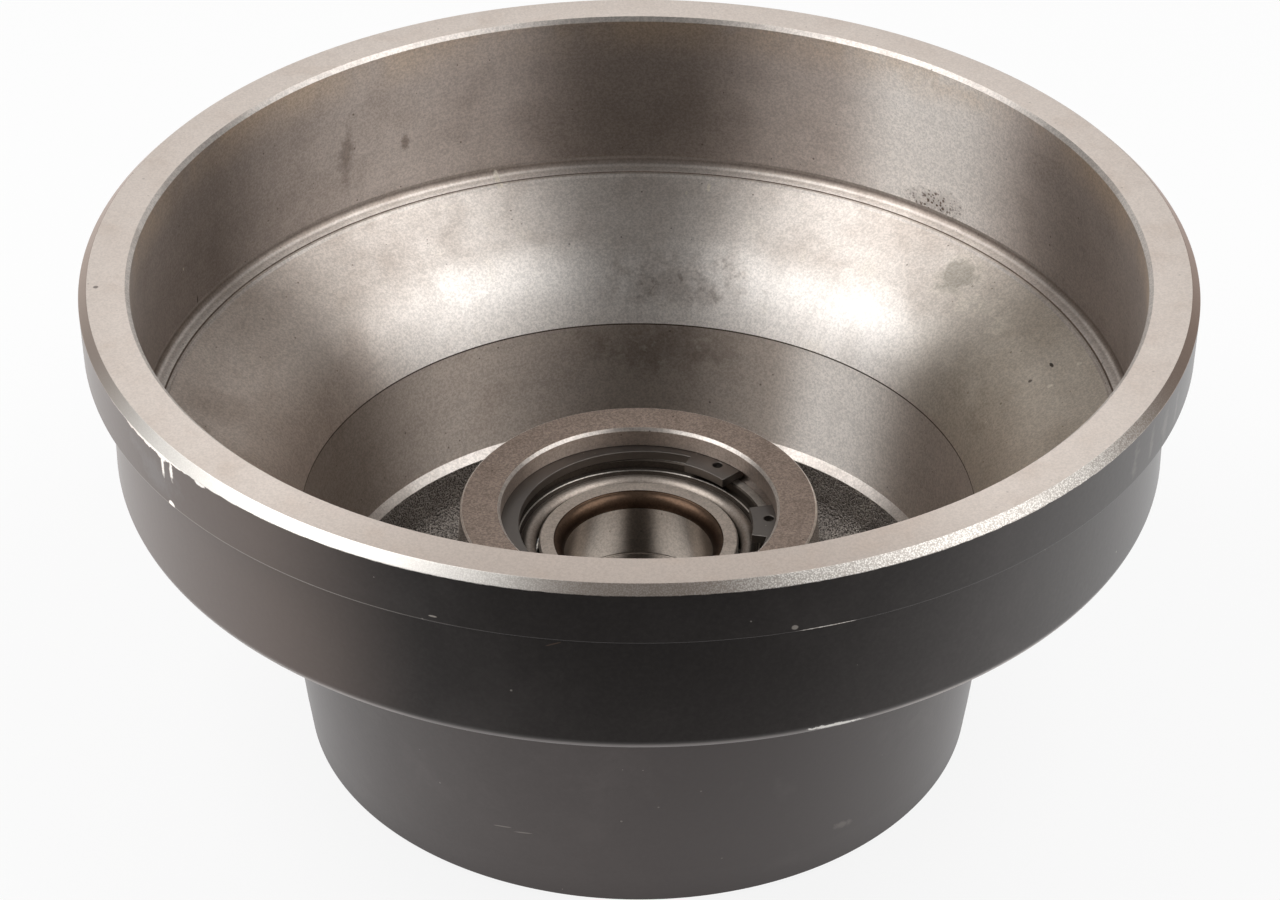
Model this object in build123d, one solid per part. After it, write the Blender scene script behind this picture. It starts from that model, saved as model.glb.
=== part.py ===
from build123d import *
import math
import os

# A rear brake drum for a light van, with the wheel bearing built into its hub.
# Millimetres and degrees. The drum stands on its wheel face, as it lies on a bench: the origin is the
# centre of that face, +Z is the axis of rotation and the open side is up.
# The gap between the circlip's ears is turned to GAP_ANGLE, counted from +X towards +Y.

# Friction surface, which the shoes press on
FRICTION_RADIUS = 127.0
FRICTION_LENGTH = 42.4
MOUTH_CHAMFER = 1.1
COVE_RADIUS = 2.4
COVE_DROP = 0.8
LEDGE_WIDTH = 3.7
RIDGE_WIDTH = 1.1
RIDGE_DEPTH = 0.45
BOWL_EDGE_DROP = 0.8

# Outside of the friction ring: a band, and a flange at the rim
OVERALL_HEIGHT = 136.5
BAND_WALL = 6.2
FLANGE_STEP = 6.5
FLANGE_WIDTH = 15.6
FLANGE_DRAFT = 0.4
RIM_CHAMFER = 2.05
BAND_CORNER = 3.5
FLANGE_STEP_FILLET = 1.5

# Bowl between the friction surface and the hub: a shallow cone, a round shoulder, a steep wall
BOWL_SLOPE = 25.0
SHOULDER_RADIUS = 23.7
WALL_TAPER = 10.8
WALL_FOOT_RADIUS = 82.0
WALL_FOOT_HEIGHT = 32.0
WALL_FOOT_CHAMFER = 2.0
WEB_THICKNESS = 7.5

# Hub section outside, tapered in two steps down to the wheel face
HUB_WALL = 5.0
HUB_CREASE_HEIGHT = 11.3
HUB_LOWER_TAPER = 7.5
HUB_UPPER_TAPER = 6.5
HUB_FOOT_CHAMFER = 2.0

# Cast floor and the boss that holds the bearing
FLOOR_THICKNESS = 14.2
CAST_DRAFT = 4.5
FLOOR_FILLET = 8.0
BOSS_FILLET = 3.0
BOSS_WALL = 10.5
BOSS_RISE = 7.95
BOSS_DRAFT = 4.0
BOSS_EDGE = 0.5
BORE_CHAMFER = 0.8

# Wheel bearing: one outer ring, two inner rings face to face, two rows of balls.
# Its sizes are stacked from the bore outwards, and come to 39 x 72 x 37.
BEARING_BORE_RADIUS = 19.5
INNER_RACE_WALL = 2.667
OUTER_RACE_WALL = 1.767
BALL_RADIUS = 5.953
BALL_SPACING = 1.5
RACE_CLEARANCE = 0.08
INNER_LAND_DEPTH = 3.933
SEAM_LAND_DEPTH = 2.033
OUTER_LAND_DEPTH = 3.233
SEAL_SEAT_WALL = 3.0
SEAL_SEAT_RISE = 4.5
OUTER_RING_OVERHANG = 2.5
ENTRY_WIDTH = 2.7
ENTRY_DEPTH = 4.0
ENTRY_STEP_DEPTH = 0.35
RING_EDGE = 0.4

# Ball cages, back to back
CAGE_THICKNESS = 2.2
CAGE_MARGIN = 1.4
CAGE_HALF_GAP = 1.147
WINDOW_CLEARANCE = 0.15

# Seals, pressed into the outer ring and clear of the cages and inner rings
SEAL_CAGE_GAP = 0.247
SEAL_RING_GAP = 0.8
SEAL_DEPTH = 3.7
SEAL_LIP_WIDTH = 1.5
SEAL_PLATE = 1.0
SEAL_CROWN = 1.3
SEAL_LIP_DROP = 1.4

# Internal circlip for the bearing seat, and the groove that it sits in
CIRCLIP_THICKNESS = 2.5
GROOVE_DEPTH = 1.5
GROOVE_CLEARANCE = 0.1
CIRCLIP_NARROW = 3.4
CIRCLIP_WIDE = 6.3
EAR_WIDTH = 7.6
EAR_HOLE_RADIUS = 1.3
EAR_HOLE_INSET = 3.3
EAR_START_ANGLE = 38.0
EAR_HOLE_ANGLE = 24.1
EAR_END_ANGLE = 14.0
GAP_ANGLE = 28.0

# Bearing shoulder, hub cap seat and wheel bolt holes
SHOULDER_WIDTH = 6.0
SHOULDER_THICKNESS = 4.05
CAP_SEAT_STEP = 2.5
CAP_SEAT_DEPTH = 7.5
CAP_SEAT_CHAMFER = 0.8
BOLT_CIRCLE_RADIUS = 59.0
BOLT_HOLE_RADIUS = 6.2
BOLT_HOLE_CHAMFER = 1.0
BOLT_COUNT = 5
FIRST_BOLT_ANGLE = 90.0

# A rounded corner takes at most this share of the shorter wall beside it
CORNER_SHARE = 0.6
QUARTER_TURN = 90.0

# Radii and heights that follow from the sizes above
BAND_RADIUS = FRICTION_RADIUS + BAND_WALL
RIM_RADIUS = BAND_RADIUS + FLANGE_STEP
HUB_FOOT_RADIUS = WALL_FOOT_RADIUS + HUB_WALL
RACE_RADIUS = BALL_RADIUS + RACE_CLEARANCE
PITCH_RADIUS = BEARING_BORE_RADIUS + INNER_RACE_WALL + RACE_RADIUS
BEARING_OUTER_RADIUS = PITCH_RADIUS + RACE_RADIUS + OUTER_RACE_WALL
INNER_LAND_RADIUS = PITCH_RADIUS - RACE_RADIUS + INNER_LAND_DEPTH
SEAM_LAND_RADIUS = PITCH_RADIUS - RACE_RADIUS + SEAM_LAND_DEPTH
OUTER_LAND_RADIUS = PITCH_RADIUS + RACE_RADIUS - OUTER_LAND_DEPTH
SEAL_SEAT_RADIUS = BEARING_OUTER_RADIUS - SEAL_SEAT_WALL
ENTRY_STEP_RADIUS = BEARING_BORE_RADIUS + ENTRY_WIDTH
BALL_COUNT = int(math.pi / math.asin((BALL_RADIUS + BALL_SPACING / 2) / PITCH_RADIUS))
ROW_OFFSET = CAGE_HALF_GAP + CAGE_MARGIN + BALL_RADIUS
CAGE_TOP = ROW_OFFSET + BALL_RADIUS + CAGE_MARGIN
INNER_HALF_WIDTH = CAGE_TOP + SEAL_CAGE_GAP + SEAL_PLATE + SEAL_LIP_DROP
OUTER_HALF_WIDTH = INNER_HALF_WIDTH + OUTER_RING_OVERHANG
SHOULDER_HEIGHT = CAP_SEAT_DEPTH + SHOULDER_THICKNESS
BEARING_MIDDLE = SHOULDER_HEIGHT + OUTER_HALF_WIDTH
OUTER_RING_TOP = BEARING_MIDDLE + OUTER_HALF_WIDTH
BOSS_HEIGHT = OUTER_RING_TOP + BOSS_RISE
BOSS_RADIUS = BEARING_OUTER_RADIUS + BOSS_WALL
SHOULDER_BORE_RADIUS = BEARING_OUTER_RADIUS - SHOULDER_WIDTH
CAP_SEAT_RADIUS = SHOULDER_BORE_RADIUS + CAP_SEAT_STEP
GROOVE_TOP = OUTER_RING_TOP + CIRCLIP_THICKNESS + GROOVE_CLEARANCE
GROOVE_FOOT = OUTER_RING_TOP - GROOVE_CLEARANCE


def across(height, degrees):
    """How far a face leans over a height, for a taper in degrees."""
    return height * math.tan(math.radians(degrees))


def meet(point, slope, foot, taper):
    """Where a shallow cone meets a steep wall, both seen in half section."""
    rise = math.tan(math.radians(slope))
    lean = math.tan(math.radians(taper))
    height = (point[1] - (point[0] - foot[0] + lean * foot[1]) * rise) / (1 - lean * rise)
    return foot[0] + lean * (height - foot[1]), height


def corner_radius(radius, points, corner):
    """The radius of a rounded corner, limited by the shorter wall beside it."""
    here = points.index(corner)
    walls = [Vector(*points[here + step]) - Vector(*corner) for step in (-1, 1)]
    half = math.radians(walls[0].get_angle(walls[1]) / 2)
    room = CORNER_SHARE * min(wall.length for wall in walls)
    return min(radius, room * math.tan(half))


def turned(points, corners=()):
    """Turns a closed half section of (radius, height) points, with some corners rounded."""
    section = make_face(Polyline(*points, close=True))
    for corner, radius in corners:
        vertex = section.vertices().sort_by_distance((corner[0], corner[1], 0))[0]
        section = fillet(vertex, corner_radius(radius, points, corner))
    return revolve(Plane.XZ * section, Axis.Z)


def drum_outside():
    """Half section from the wheel face up the outside to the rim face, and its round corners."""
    cone_point, web_drop = bowl_edge(), WEB_THICKNESS / math.cos(math.radians(BOWL_SLOPE))
    under_point = (cone_point[0], cone_point[1] - web_drop)
    crease = (HUB_FOOT_RADIUS + across(HUB_CREASE_HEIGHT, HUB_LOWER_TAPER), HUB_CREASE_HEIGHT)
    neck = meet(under_point, BOWL_SLOPE, crease, HUB_UPPER_TAPER)
    band_foot = (BAND_RADIUS, under_point[1] + across(BAND_RADIUS - under_point[0], BOWL_SLOPE))
    flange_foot = OVERALL_HEIGHT - FLANGE_WIDTH
    step = (BAND_RADIUS, flange_foot)
    foot_chamfer_top = HUB_FOOT_RADIUS + across(HUB_FOOT_CHAMFER, HUB_LOWER_TAPER)
    points = [
        (HUB_FOOT_RADIUS - HUB_FOOT_CHAMFER, 0),
        (foot_chamfer_top, HUB_FOOT_CHAMFER),
        crease,
        neck,
        band_foot,
        step,
        (RIM_RADIUS - FLANGE_DRAFT, flange_foot),
        (RIM_RADIUS, OVERALL_HEIGHT - RIM_CHAMFER),
        (RIM_RADIUS - RIM_CHAMFER, OVERALL_HEIGHT),
    ]
    corners = [
        (neck, SHOULDER_RADIUS - WEB_THICKNESS),
        (band_foot, BAND_CORNER),
        (step, FLANGE_STEP_FILLET),
    ]
    return points, corners


def bowl_edge():
    """Where the bowl starts, inside the ridge below the friction surface."""
    radius = FRICTION_RADIUS - LEDGE_WIDTH - RIDGE_WIDTH - RIDGE_DEPTH
    height = OVERALL_HEIGHT - MOUTH_CHAMFER - FRICTION_LENGTH - COVE_RADIUS - COVE_DROP
    return radius, height - BOWL_EDGE_DROP


def drum_inside():
    """Half section from the rim face down the friction surface and bowl to the boss."""
    edge = bowl_edge()
    cove_foot = OVERALL_HEIGHT - MOUTH_CHAMFER - FRICTION_LENGTH - COVE_RADIUS
    cove = (FRICTION_RADIUS, cove_foot)
    ledge_radius = FRICTION_RADIUS - LEDGE_WIDTH
    ledge_height = cove_foot - COVE_DROP
    wall_foot = (WALL_FOOT_RADIUS, WALL_FOOT_HEIGHT)
    shoulder = meet(edge, BOWL_SLOPE, wall_foot, WALL_TAPER)
    cast_top = (WALL_FOOT_RADIUS - WALL_FOOT_CHAMFER, WALL_FOOT_HEIGHT - WALL_FOOT_CHAMFER)
    cast_drop = cast_top[1] - FLOOR_THICKNESS
    floor_corner = (cast_top[0] - across(cast_drop, CAST_DRAFT), FLOOR_THICKNESS)
    boss_drop = BOSS_HEIGHT - BOSS_EDGE - FLOOR_THICKNESS
    boss_foot = (BOSS_RADIUS + across(boss_drop, BOSS_DRAFT), FLOOR_THICKNESS)
    points = [
        (FRICTION_RADIUS + MOUTH_CHAMFER, OVERALL_HEIGHT),
        (FRICTION_RADIUS, OVERALL_HEIGHT - MOUTH_CHAMFER),
        cove,
        (ledge_radius, ledge_height),
        (ledge_radius - RIDGE_DEPTH / 2, ledge_height - RIDGE_DEPTH),
        (ledge_radius - RIDGE_DEPTH, ledge_height),
        (ledge_radius - RIDGE_WIDTH, ledge_height - RIDGE_DEPTH / 4),
        edge,
        shoulder,
        wall_foot,
        cast_top,
        floor_corner,
        boss_foot,
        (BOSS_RADIUS, BOSS_HEIGHT - BOSS_EDGE),
        (BOSS_RADIUS - BOSS_EDGE, BOSS_HEIGHT),
    ]
    corners = [
        (cove, COVE_RADIUS),
        (shoulder, SHOULDER_RADIUS),
        (floor_corner, FLOOR_FILLET),
        (boss_foot, BOSS_FILLET),
    ]
    return points, corners


def hub_bore():
    """Half section down the bore: circlip groove, bearing seat, shoulder and hub cap seat."""
    seat, groove = BEARING_OUTER_RADIUS, BEARING_OUTER_RADIUS + GROOVE_DEPTH
    return [
        (seat + BORE_CHAMFER, BOSS_HEIGHT),
        (seat, BOSS_HEIGHT - BORE_CHAMFER),
        (seat, GROOVE_TOP),
        (groove, GROOVE_TOP),
        (groove, GROOVE_FOOT),
        (seat, GROOVE_FOOT),
        (seat, SHOULDER_HEIGHT),
        (SHOULDER_BORE_RADIUS, SHOULDER_HEIGHT),
        (SHOULDER_BORE_RADIUS, CAP_SEAT_DEPTH),
        (CAP_SEAT_RADIUS, CAP_SEAT_DEPTH),
        (CAP_SEAT_RADIUS, CAP_SEAT_CHAMFER),
        (CAP_SEAT_RADIUS + CAP_SEAT_CHAMFER, 0),
    ]


def bolt_hole():
    """One tapped hole for a wheel bolt, at its core size, with a lead-in at the wheel face."""
    hole = Cylinder(BOLT_HOLE_RADIUS, FLOOR_THICKNESS + BOSS_FILLET)
    hole = Pos(0, 0, (FLOOR_THICKNESS + BOSS_FILLET) / 2) * hole
    mouth = Cone(BOLT_HOLE_RADIUS + BOLT_HOLE_CHAMFER, BOLT_HOLE_RADIUS, BOLT_HOLE_CHAMFER)
    return hole + Pos(0, 0, BOLT_HOLE_CHAMFER / 2) * mouth


def brake_drum():
    """The whole drum is one iron casting: ring, web, hub section and bearing boss."""
    outside, outside_corners = drum_outside()
    inside, inside_corners = drum_inside()
    casting = turned(outside + inside + hub_bore(), outside_corners + inside_corners)
    for k in range(BOLT_COUNT):
        turn = Rot(0, 0, FIRST_BOLT_ANGLE + k * 360 / BOLT_COUNT)
        casting -= turn * Pos(BOLT_CIRCLE_RADIUS, 0, 0) * bolt_hole()
    return casting


def race():
    """The torus that both rings' races are cut with, on the upper row."""
    return Pos(0, 0, ROW_OFFSET) * Torus(PITCH_RADIUS, RACE_RADIUS)


def place(shape, side):
    """Moves a piece drawn about the bearing's middle to its place, on the upper or lower side."""
    if side < 0:
        shape = Rot(180, 0, 0) * shape
    return Pos(0, 0, BEARING_MIDDLE) * shape


def outer_ring():
    """Outer ring: a middle land between two races, and a seal seat at each end."""
    half = OUTER_HALF_WIDTH
    seat_foot = ROW_OFFSET + SEAL_SEAT_RISE
    points = [
        (OUTER_LAND_RADIUS, -seat_foot),
        (SEAL_SEAT_RADIUS, -seat_foot),
        (SEAL_SEAT_RADIUS, -half + RING_EDGE),
        (SEAL_SEAT_RADIUS + RING_EDGE, -half),
        (BEARING_OUTER_RADIUS - RING_EDGE, -half),
        (BEARING_OUTER_RADIUS, -half + RING_EDGE),
        (BEARING_OUTER_RADIUS, half - RING_EDGE),
        (BEARING_OUTER_RADIUS - RING_EDGE, half),
        (SEAL_SEAT_RADIUS + RING_EDGE, half),
        (SEAL_SEAT_RADIUS, half - RING_EDGE),
        (SEAL_SEAT_RADIUS, seat_foot),
        (OUTER_LAND_RADIUS, seat_foot),
    ]
    ring = turned(points) - race() - Rot(180, 0, 0) * race()
    return place(ring, 1)


def inner_ring(side):
    """One of the two inner rings: a race, a high land outside it and a rounded bore entry."""
    half = INNER_HALF_WIDTH
    bore_top = half - ENTRY_DEPTH
    entry_top = half - ENTRY_STEP_DEPTH
    lines = Polyline(
        (BEARING_BORE_RADIUS, bore_top),
        (BEARING_BORE_RADIUS, RING_EDGE),
        (BEARING_BORE_RADIUS + RING_EDGE, 0),
        (SEAM_LAND_RADIUS, 0),
        (SEAM_LAND_RADIUS, ROW_OFFSET),
        (INNER_LAND_RADIUS, ROW_OFFSET),
        (INNER_LAND_RADIUS, half - RING_EDGE),
        (INNER_LAND_RADIUS - RING_EDGE, half),
        (ENTRY_STEP_RADIUS, half),
        (ENTRY_STEP_RADIUS, entry_top),
    )
    entry = EllipticalCenterArc(
        (ENTRY_STEP_RADIUS, bore_top),
        ENTRY_STEP_RADIUS - BEARING_BORE_RADIUS,
        entry_top - bore_top,
        start_angle=QUARTER_TURN,
        arc_size=QUARTER_TURN,
    )
    section = make_face([*lines.edges(), entry])
    ring = revolve(Plane.XZ * section, Axis.Z) - race()
    return place(ring, side)


def ball(side, index):
    """One ball of a row. The lower row is turned half a pitch from the upper one."""
    half_pitch = 0 if side > 0 else 180 / BALL_COUNT
    turn = Rot(0, 0, index * 360 / BALL_COUNT + half_pitch)
    height = BEARING_MIDDLE + side * ROW_OFFSET
    return Pos(0, 0, height) * turn * Pos(PITCH_RADIUS, 0, 0) * Sphere(BALL_RADIUS)


def cage(side):
    """A ring at the pitch radius, with a round window for each ball of its row."""
    low, high = PITCH_RADIUS - CAGE_THICKNESS / 2, PITCH_RADIUS + CAGE_THICKNESS / 2
    foot = CAGE_HALF_GAP
    ring = place(turned([(low, foot), (high, foot), (high, CAGE_TOP), (low, CAGE_TOP)]), side)
    half_pitch = 0 if side > 0 else 180 / BALL_COUNT
    height = BEARING_MIDDLE + side * ROW_OFFSET
    for k in range(BALL_COUNT):
        turn = Rot(0, 0, k * 360 / BALL_COUNT + half_pitch)
        window = Rot(0, QUARTER_TURN, 0) * Cylinder(BALL_RADIUS + WINDOW_CLEARANCE, 3 * CAGE_THICKNESS)
        ring -= Pos(0, 0, height) * turn * Pos(PITCH_RADIUS, 0, 0) * window
    return ring


def seal(side):
    """A pressed steel shield: a rim in the outer ring, a lip, and a crowned plate."""
    top = INNER_HALF_WIDTH
    foot = top - SEAL_DEPTH
    lip = SEAL_SEAT_RADIUS - SEAL_LIP_WIDTH
    valley = (lip - SEAL_PLATE / 2, top - SEAL_LIP_DROP)
    brink = (INNER_LAND_RADIUS + SEAL_RING_GAP, top - SEAL_LIP_DROP)
    crown = ThreePointArc(
        valley,
        ((valley[0] + brink[0]) / 2, valley[1] + SEAL_CROWN),
        brink,
    )
    lines = Polyline(
        brink,
        (brink[0], brink[1] - SEAL_PLATE),
        (lip, brink[1] - SEAL_PLATE),
        (lip + SEAL_PLATE / 2, foot),
        (SEAL_SEAT_RADIUS, foot),
        (SEAL_SEAT_RADIUS, top),
        (lip, top),
        valley,
    )
    section = make_face([crown, *lines.edges()])
    return place(revolve(Plane.XZ * section, Axis.Z), side)


def ring_sector(radius, reach, start, end):
    """A flat piece between two angles, from an inner radius outwards."""
    points = [(radius * math.cos(a), radius * math.sin(a)) for a in (start, (start + end) / 2, end)]
    outer = [(reach * math.cos(a), reach * math.sin(a)) for a in (end, (start + end) / 2, start)]
    edges = [
        ThreePointArc(*points),
        Line(points[2], outer[0]),
        ThreePointArc(*outer),
        Line(outer[2], points[0]),
    ]
    return make_face(edges)


def circlip():
    """Internal circlip: narrow beside its two ears and wide opposite them, as such rings are."""
    outside = BEARING_OUTER_RADIUS + GROOVE_DEPTH - GROOVE_CLEARANCE
    hollow = outside - (CIRCLIP_NARROW + CIRCLIP_WIDE) / 2
    shift = (CIRCLIP_WIDE - CIRCLIP_NARROW) / 2
    flat = Circle(outside) - Pos(shift, 0) * Circle(hollow)
    ear_start, ear_end = math.radians(EAR_START_ANGLE), math.radians(EAR_END_ANGLE)
    for side in (1, -1):
        flat += ring_sector(outside - EAR_WIDTH, outside, side * ear_start, side * ear_end)
    flat -= ring_sector(outside / 2, outside * 2, -ear_end, ear_end)
    hole = math.radians(EAR_HOLE_ANGLE)
    hole_circle = outside - EAR_HOLE_INSET
    for side in (1, -1):
        centre = (hole_circle * math.cos(hole), side * hole_circle * math.sin(hole))
        flat -= Pos(*centre) * Circle(EAR_HOLE_RADIUS)
    ring = extrude(flat, CIRCLIP_THICKNESS)
    return Pos(0, 0, OUTER_RING_TOP) * Rot(0, 0, GAP_ANGLE) * ring


def build():
    """Every separate piece by its node's name."""
    nodes = {
        "brake_drum": brake_drum(),
        "circlip": circlip(),
        "bearing_outer_ring": outer_ring(),
    }
    for name, side in (("inboard", 1), ("outboard", -1)):
        nodes["inner_ring_" + name] = inner_ring(side)
        nodes["cage_" + name] = cage(side)
        nodes["seal_" + name] = seal(side)
        for k in range(BALL_COUNT):
            nodes[f"ball_{name}_{k + 1:02d}"] = ball(side, k)
    return nodes


os.makedirs("parts", exist_ok=True)
for node, shape in build().items():
    export_step(shape, f"parts/{node}.step")
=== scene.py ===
# %% [markdown]
# A brake drum with its wheel bearing.
# The drum is one iron casting. A lathe has cut its inside bright, and its outside is painted.
# The solids that hold the sizes are loaded first, as a fixed frame, and the looks are built around them.

# %% Load the solids
import math

import bmesh
import bpy
from mathutils import Matrix, Vector


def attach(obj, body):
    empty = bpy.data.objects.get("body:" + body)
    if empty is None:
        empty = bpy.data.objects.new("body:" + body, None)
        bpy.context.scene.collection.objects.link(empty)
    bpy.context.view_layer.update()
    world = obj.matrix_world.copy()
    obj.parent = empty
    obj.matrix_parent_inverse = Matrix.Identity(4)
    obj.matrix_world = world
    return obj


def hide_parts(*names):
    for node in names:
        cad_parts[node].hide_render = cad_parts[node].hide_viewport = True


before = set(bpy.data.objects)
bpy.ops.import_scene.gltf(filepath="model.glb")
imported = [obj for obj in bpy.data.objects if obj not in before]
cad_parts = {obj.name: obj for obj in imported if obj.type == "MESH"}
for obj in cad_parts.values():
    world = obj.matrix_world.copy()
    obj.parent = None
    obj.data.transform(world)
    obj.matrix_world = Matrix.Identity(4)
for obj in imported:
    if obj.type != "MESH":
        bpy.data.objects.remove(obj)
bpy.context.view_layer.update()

# %% [markdown]
# Sizes are written in millimetres, as on a drawing, and heights count up from the wheel face.
# The scene itself is in metres, so one value turns one into the other. Directions round the axis
# are in degrees: 0 points right in the main view, 90 away from the viewer, and -90 towards them.

# %% Sizes that several cells use
MM = 0.001
FRICTION_RADIUS = 127.0
RIM_HEIGHT = 136.5
RIM_RADIUS = 139.7
BAND_RADIUS = 133.2
BAND_FOOT = 86.06
FLANGE_FOOT = 120.9
FLOOR_THICKNESS = 14.2
BOSS_HEIGHT = 61.5
BOSS_RADIUS = 46.5
BEARING_RADIUS = 36.0
BEARING_MIDDLE = 32.55
print("the drum is", 2 * RIM_RADIUS, "mm across and", RIM_HEIGHT, "mm high")


# %% [markdown]
# Every turned piece is an outline swept round an axis, as on a lathe.
# An outline lists its corners: radius, height, how round the corner is, and the finish of the
# stretch that follows. A sharp corner on real iron still has a small round edge that catches
# light, so each corner has one. The round stretches come from the corner's angle and radius, and
# a corner with no rounding on a straight stretch only changes the finish there.

# %% Round the corners of an outline
SMALL_EDGE, SMALL_EDGE_STEPS = 1.0, 3
LEAST_ARC_STEPS, DEGREES_A_STEP = 4, 5


def round_corner(before, corner, after, radius):
    """Points of the arc that rounds a corner, from its first side to its second."""
    here = Vector(corner)
    if radius == 0:
        return [here]
    to_before = (Vector(before) - here).normalized()
    to_after = (Vector(after) - here).normalized()
    half = to_before.angle(to_after) / 2
    centre = here + (to_before + to_after).normalized() * (radius / math.sin(half))
    first = (here + to_before * (radius / math.tan(half)) - centre).normalized()
    last = (here + to_after * (radius / math.tan(half)) - centre).normalized()
    turn = math.degrees(first.angle(last))
    steps = SMALL_EDGE_STEPS if radius < SMALL_EDGE else max(LEAST_ARC_STEPS, round(turn / DEGREES_A_STEP))
    return [centre + radius * first.slerp(last, step / steps) for step in range(steps + 1)]


def stretches(corners):
    """Splits an outline into runs of points, each with its finish and the arc that ends it."""
    runs = []
    for index, (radius, height, edge, finish) in enumerate(corners):
        before, after = corners[index - 1][:2], corners[(index + 1) % len(corners)][:2]
        arc_points = round_corner(before, (radius, height), after, edge)
        if runs:
            runs[-1][1].extend(arc_points)
        runs.append((finish, [arc_points[-1]]))
    first = corners[0]
    runs[-1][1].extend(round_corner(corners[-1][:2], first[:2], corners[1][:2], first[2]))
    return runs


print("a right angle rounded by 2 mm has", len(round_corner((0, 0), (9, 0), (9, 9), 2.0)), "points")

# %% [markdown]
# The spin operator sweeps each run of points round the axis. Each run is swept in a mesh of its
# own, which is quick, takes that run's finish, and joins the piece. The seams are merged last.

# %% Sweep an outline round the axis
MERGE_DISTANCE = 0.0005 * MM


def close_up(shape):
    """Merges the points of a shape that coincide, and turns its faces outwards."""
    bmesh.ops.remove_doubles(shape, verts=shape.verts, dist=MERGE_DISTANCE)
    bmesh.ops.recalc_face_normals(shape, faces=shape.faces)


def full_turn(shape, points, centre, steps):
    """Sweeps points, given in metres, a full turn round an upright line through a centre."""
    verts = [shape.verts.new(point) for point in points]
    edges = [shape.edges.new(pair) for pair in zip(verts, verts[1:])]
    turn = {"axis": (0, 0, 1), "angle": math.tau, "use_merge": True}
    bmesh.ops.spin(shape, geom=verts + edges, cent=centre, steps=steps, **turn)


def turned(corners, steps):
    """A closed shape turned from an outline of corners, and the names of its finishes in order."""
    shape = bmesh.new()
    names = list(dict.fromkeys(corner[3] for corner in corners))
    for finish_name, points in stretches(corners):
        run = bmesh.new()
        full_turn(run, [(point.x * MM, 0, point.y * MM) for point in points], (0, 0, 0), steps)
        for face in run.faces:
            face.material_index = names.index(finish_name)
        mesh = bpy.data.meshes.new("run")
        run.to_mesh(mesh)
        run.free()
        shape.from_mesh(mesh)
        bpy.data.meshes.remove(mesh)
    close_up(shape)
    return shape, names


# %% [markdown]
# A smooth-shaded mesh blurs its flat faces at their edges. The Weighted Normal modifier lets the
# large faces set the shading, so a flat face looks flat and only the small round edge is soft.

# %% Put a shape in the scene as a piece of the drum
def object_from(name, shape, materials=()):
    """Turns a shape into an object of the scene, with its materials."""
    for face in shape.faces:
        face.smooth = True
    mesh = bpy.data.meshes.new(name)
    shape.to_mesh(mesh)
    shape.free()
    for material in materials:
        mesh.materials.append(material)
    made = bpy.data.objects.new(name, mesh)
    bpy.context.scene.collection.objects.link(made)
    return made


def piece_from(name, shape, materials, body, slot, *nodes):
    """Makes a piece that stands for the named solids and moves with their body."""
    piece = object_from(name, shape, materials)
    shading = piece.modifiers.new("flat faces stay flat", "WEIGHTED_NORMAL")
    shading.mode = "FACE_AREA"
    shading.weight = 100
    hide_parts(*nodes)
    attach(piece, body)
    print(name, "has", len(piece.data.polygons), "faces and", len(materials), "finishes")
    return piece


# %% [markdown]
# Materials are node trees. A few small helpers keep them short: one adds a node and connects it,
# one does a sum, one maps a range, one mixes, and one turns a colour as a screen shows it, 0 to
# 255, into the scene's linear light.

# %% Node helpers
FLOAT, VECTOR = "NodeSocketFloat", "NodeSocketVector"


def add(tree, kind, inputs=None, **settings):
    """Adds a node, sets its options, and connects or sets its inputs."""
    made = tree.nodes.new(kind)
    for key, value in settings.items():
        setattr(made, key, value)
    for key, value in (inputs or {}).items():
        if isinstance(value, bpy.types.NodeSocket):
            tree.links.new(value, made.inputs[key])
        else:
            made.inputs[key].default_value = value
    return made


def sums(tree, operation, *values, clamp=False):
    """A Math node's result."""
    inputs = dict(enumerate(values))
    return add(tree, "ShaderNodeMath", inputs, operation=operation, use_clamp=clamp).outputs[0]


def vector_sums(tree, operation, *values, output="Vector"):
    """A Vector Math node's result."""
    inputs = dict(enumerate(values))
    return add(tree, "ShaderNodeVectorMath", inputs, operation=operation).outputs[output]


def ramp(tree, value, low, high, start=0.0, end=1.0):
    """Maps a value smoothly from low..high to start..end, and holds it there outside."""
    limits = {"Value": value, "From Min": low, "From Max": high, "To Min": start, "To Max": end}
    return add(tree, "ShaderNodeMapRange", limits, interpolation_type="SMOOTHSTEP").outputs[0]


def near(tree, value, centre, far, close):
    """1 where a value is within close of a centre, and fading to 0 where it is far from it."""
    distance = sums(tree, "ABSOLUTE", sums(tree, "SUBTRACT", value, centre))
    return ramp(tree, distance, far, close)


# %% Node helpers for colours
def blend(tree, share, first, second):
    """Mixes two numbers by a share."""
    return add(tree, "ShaderNodeMix", {0: share, 2: first, 3: second}, data_type="FLOAT").outputs[0]


def blend_colours(tree, share, first, second, mode="MIX"):
    """Mixes two colours by a share."""
    inputs = {0: share, 6: first, 7: second}
    return add(tree, "ShaderNodeMix", inputs, data_type="RGBA", blend_type=mode).outputs[2]


def grey(tree, level):
    """A grey of a level that varies."""
    return add(tree, "ShaderNodeCombineColor", {0: level, 1: level, 2: level}).outputs[0]


def screen(red, green, blue):
    """A colour as a screen shows it, 0 to 255, in linear light."""
    channels = [value / 255 for value in (red, green, blue)]
    linear = [c / 12.92 if c <= 0.04045 else ((c + 0.055) / 1.055) ** 2.4 for c in channels]
    return (*linear, 1.0)


print("middle grey of a screen is", round(screen(128, 128, 128)[0], 3), "in linear light")

# %% [markdown]
# An effect that several materials share is a node group: a small tree with named inputs and
# outputs, made once and placed wherever it is needed with its own values.

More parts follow.
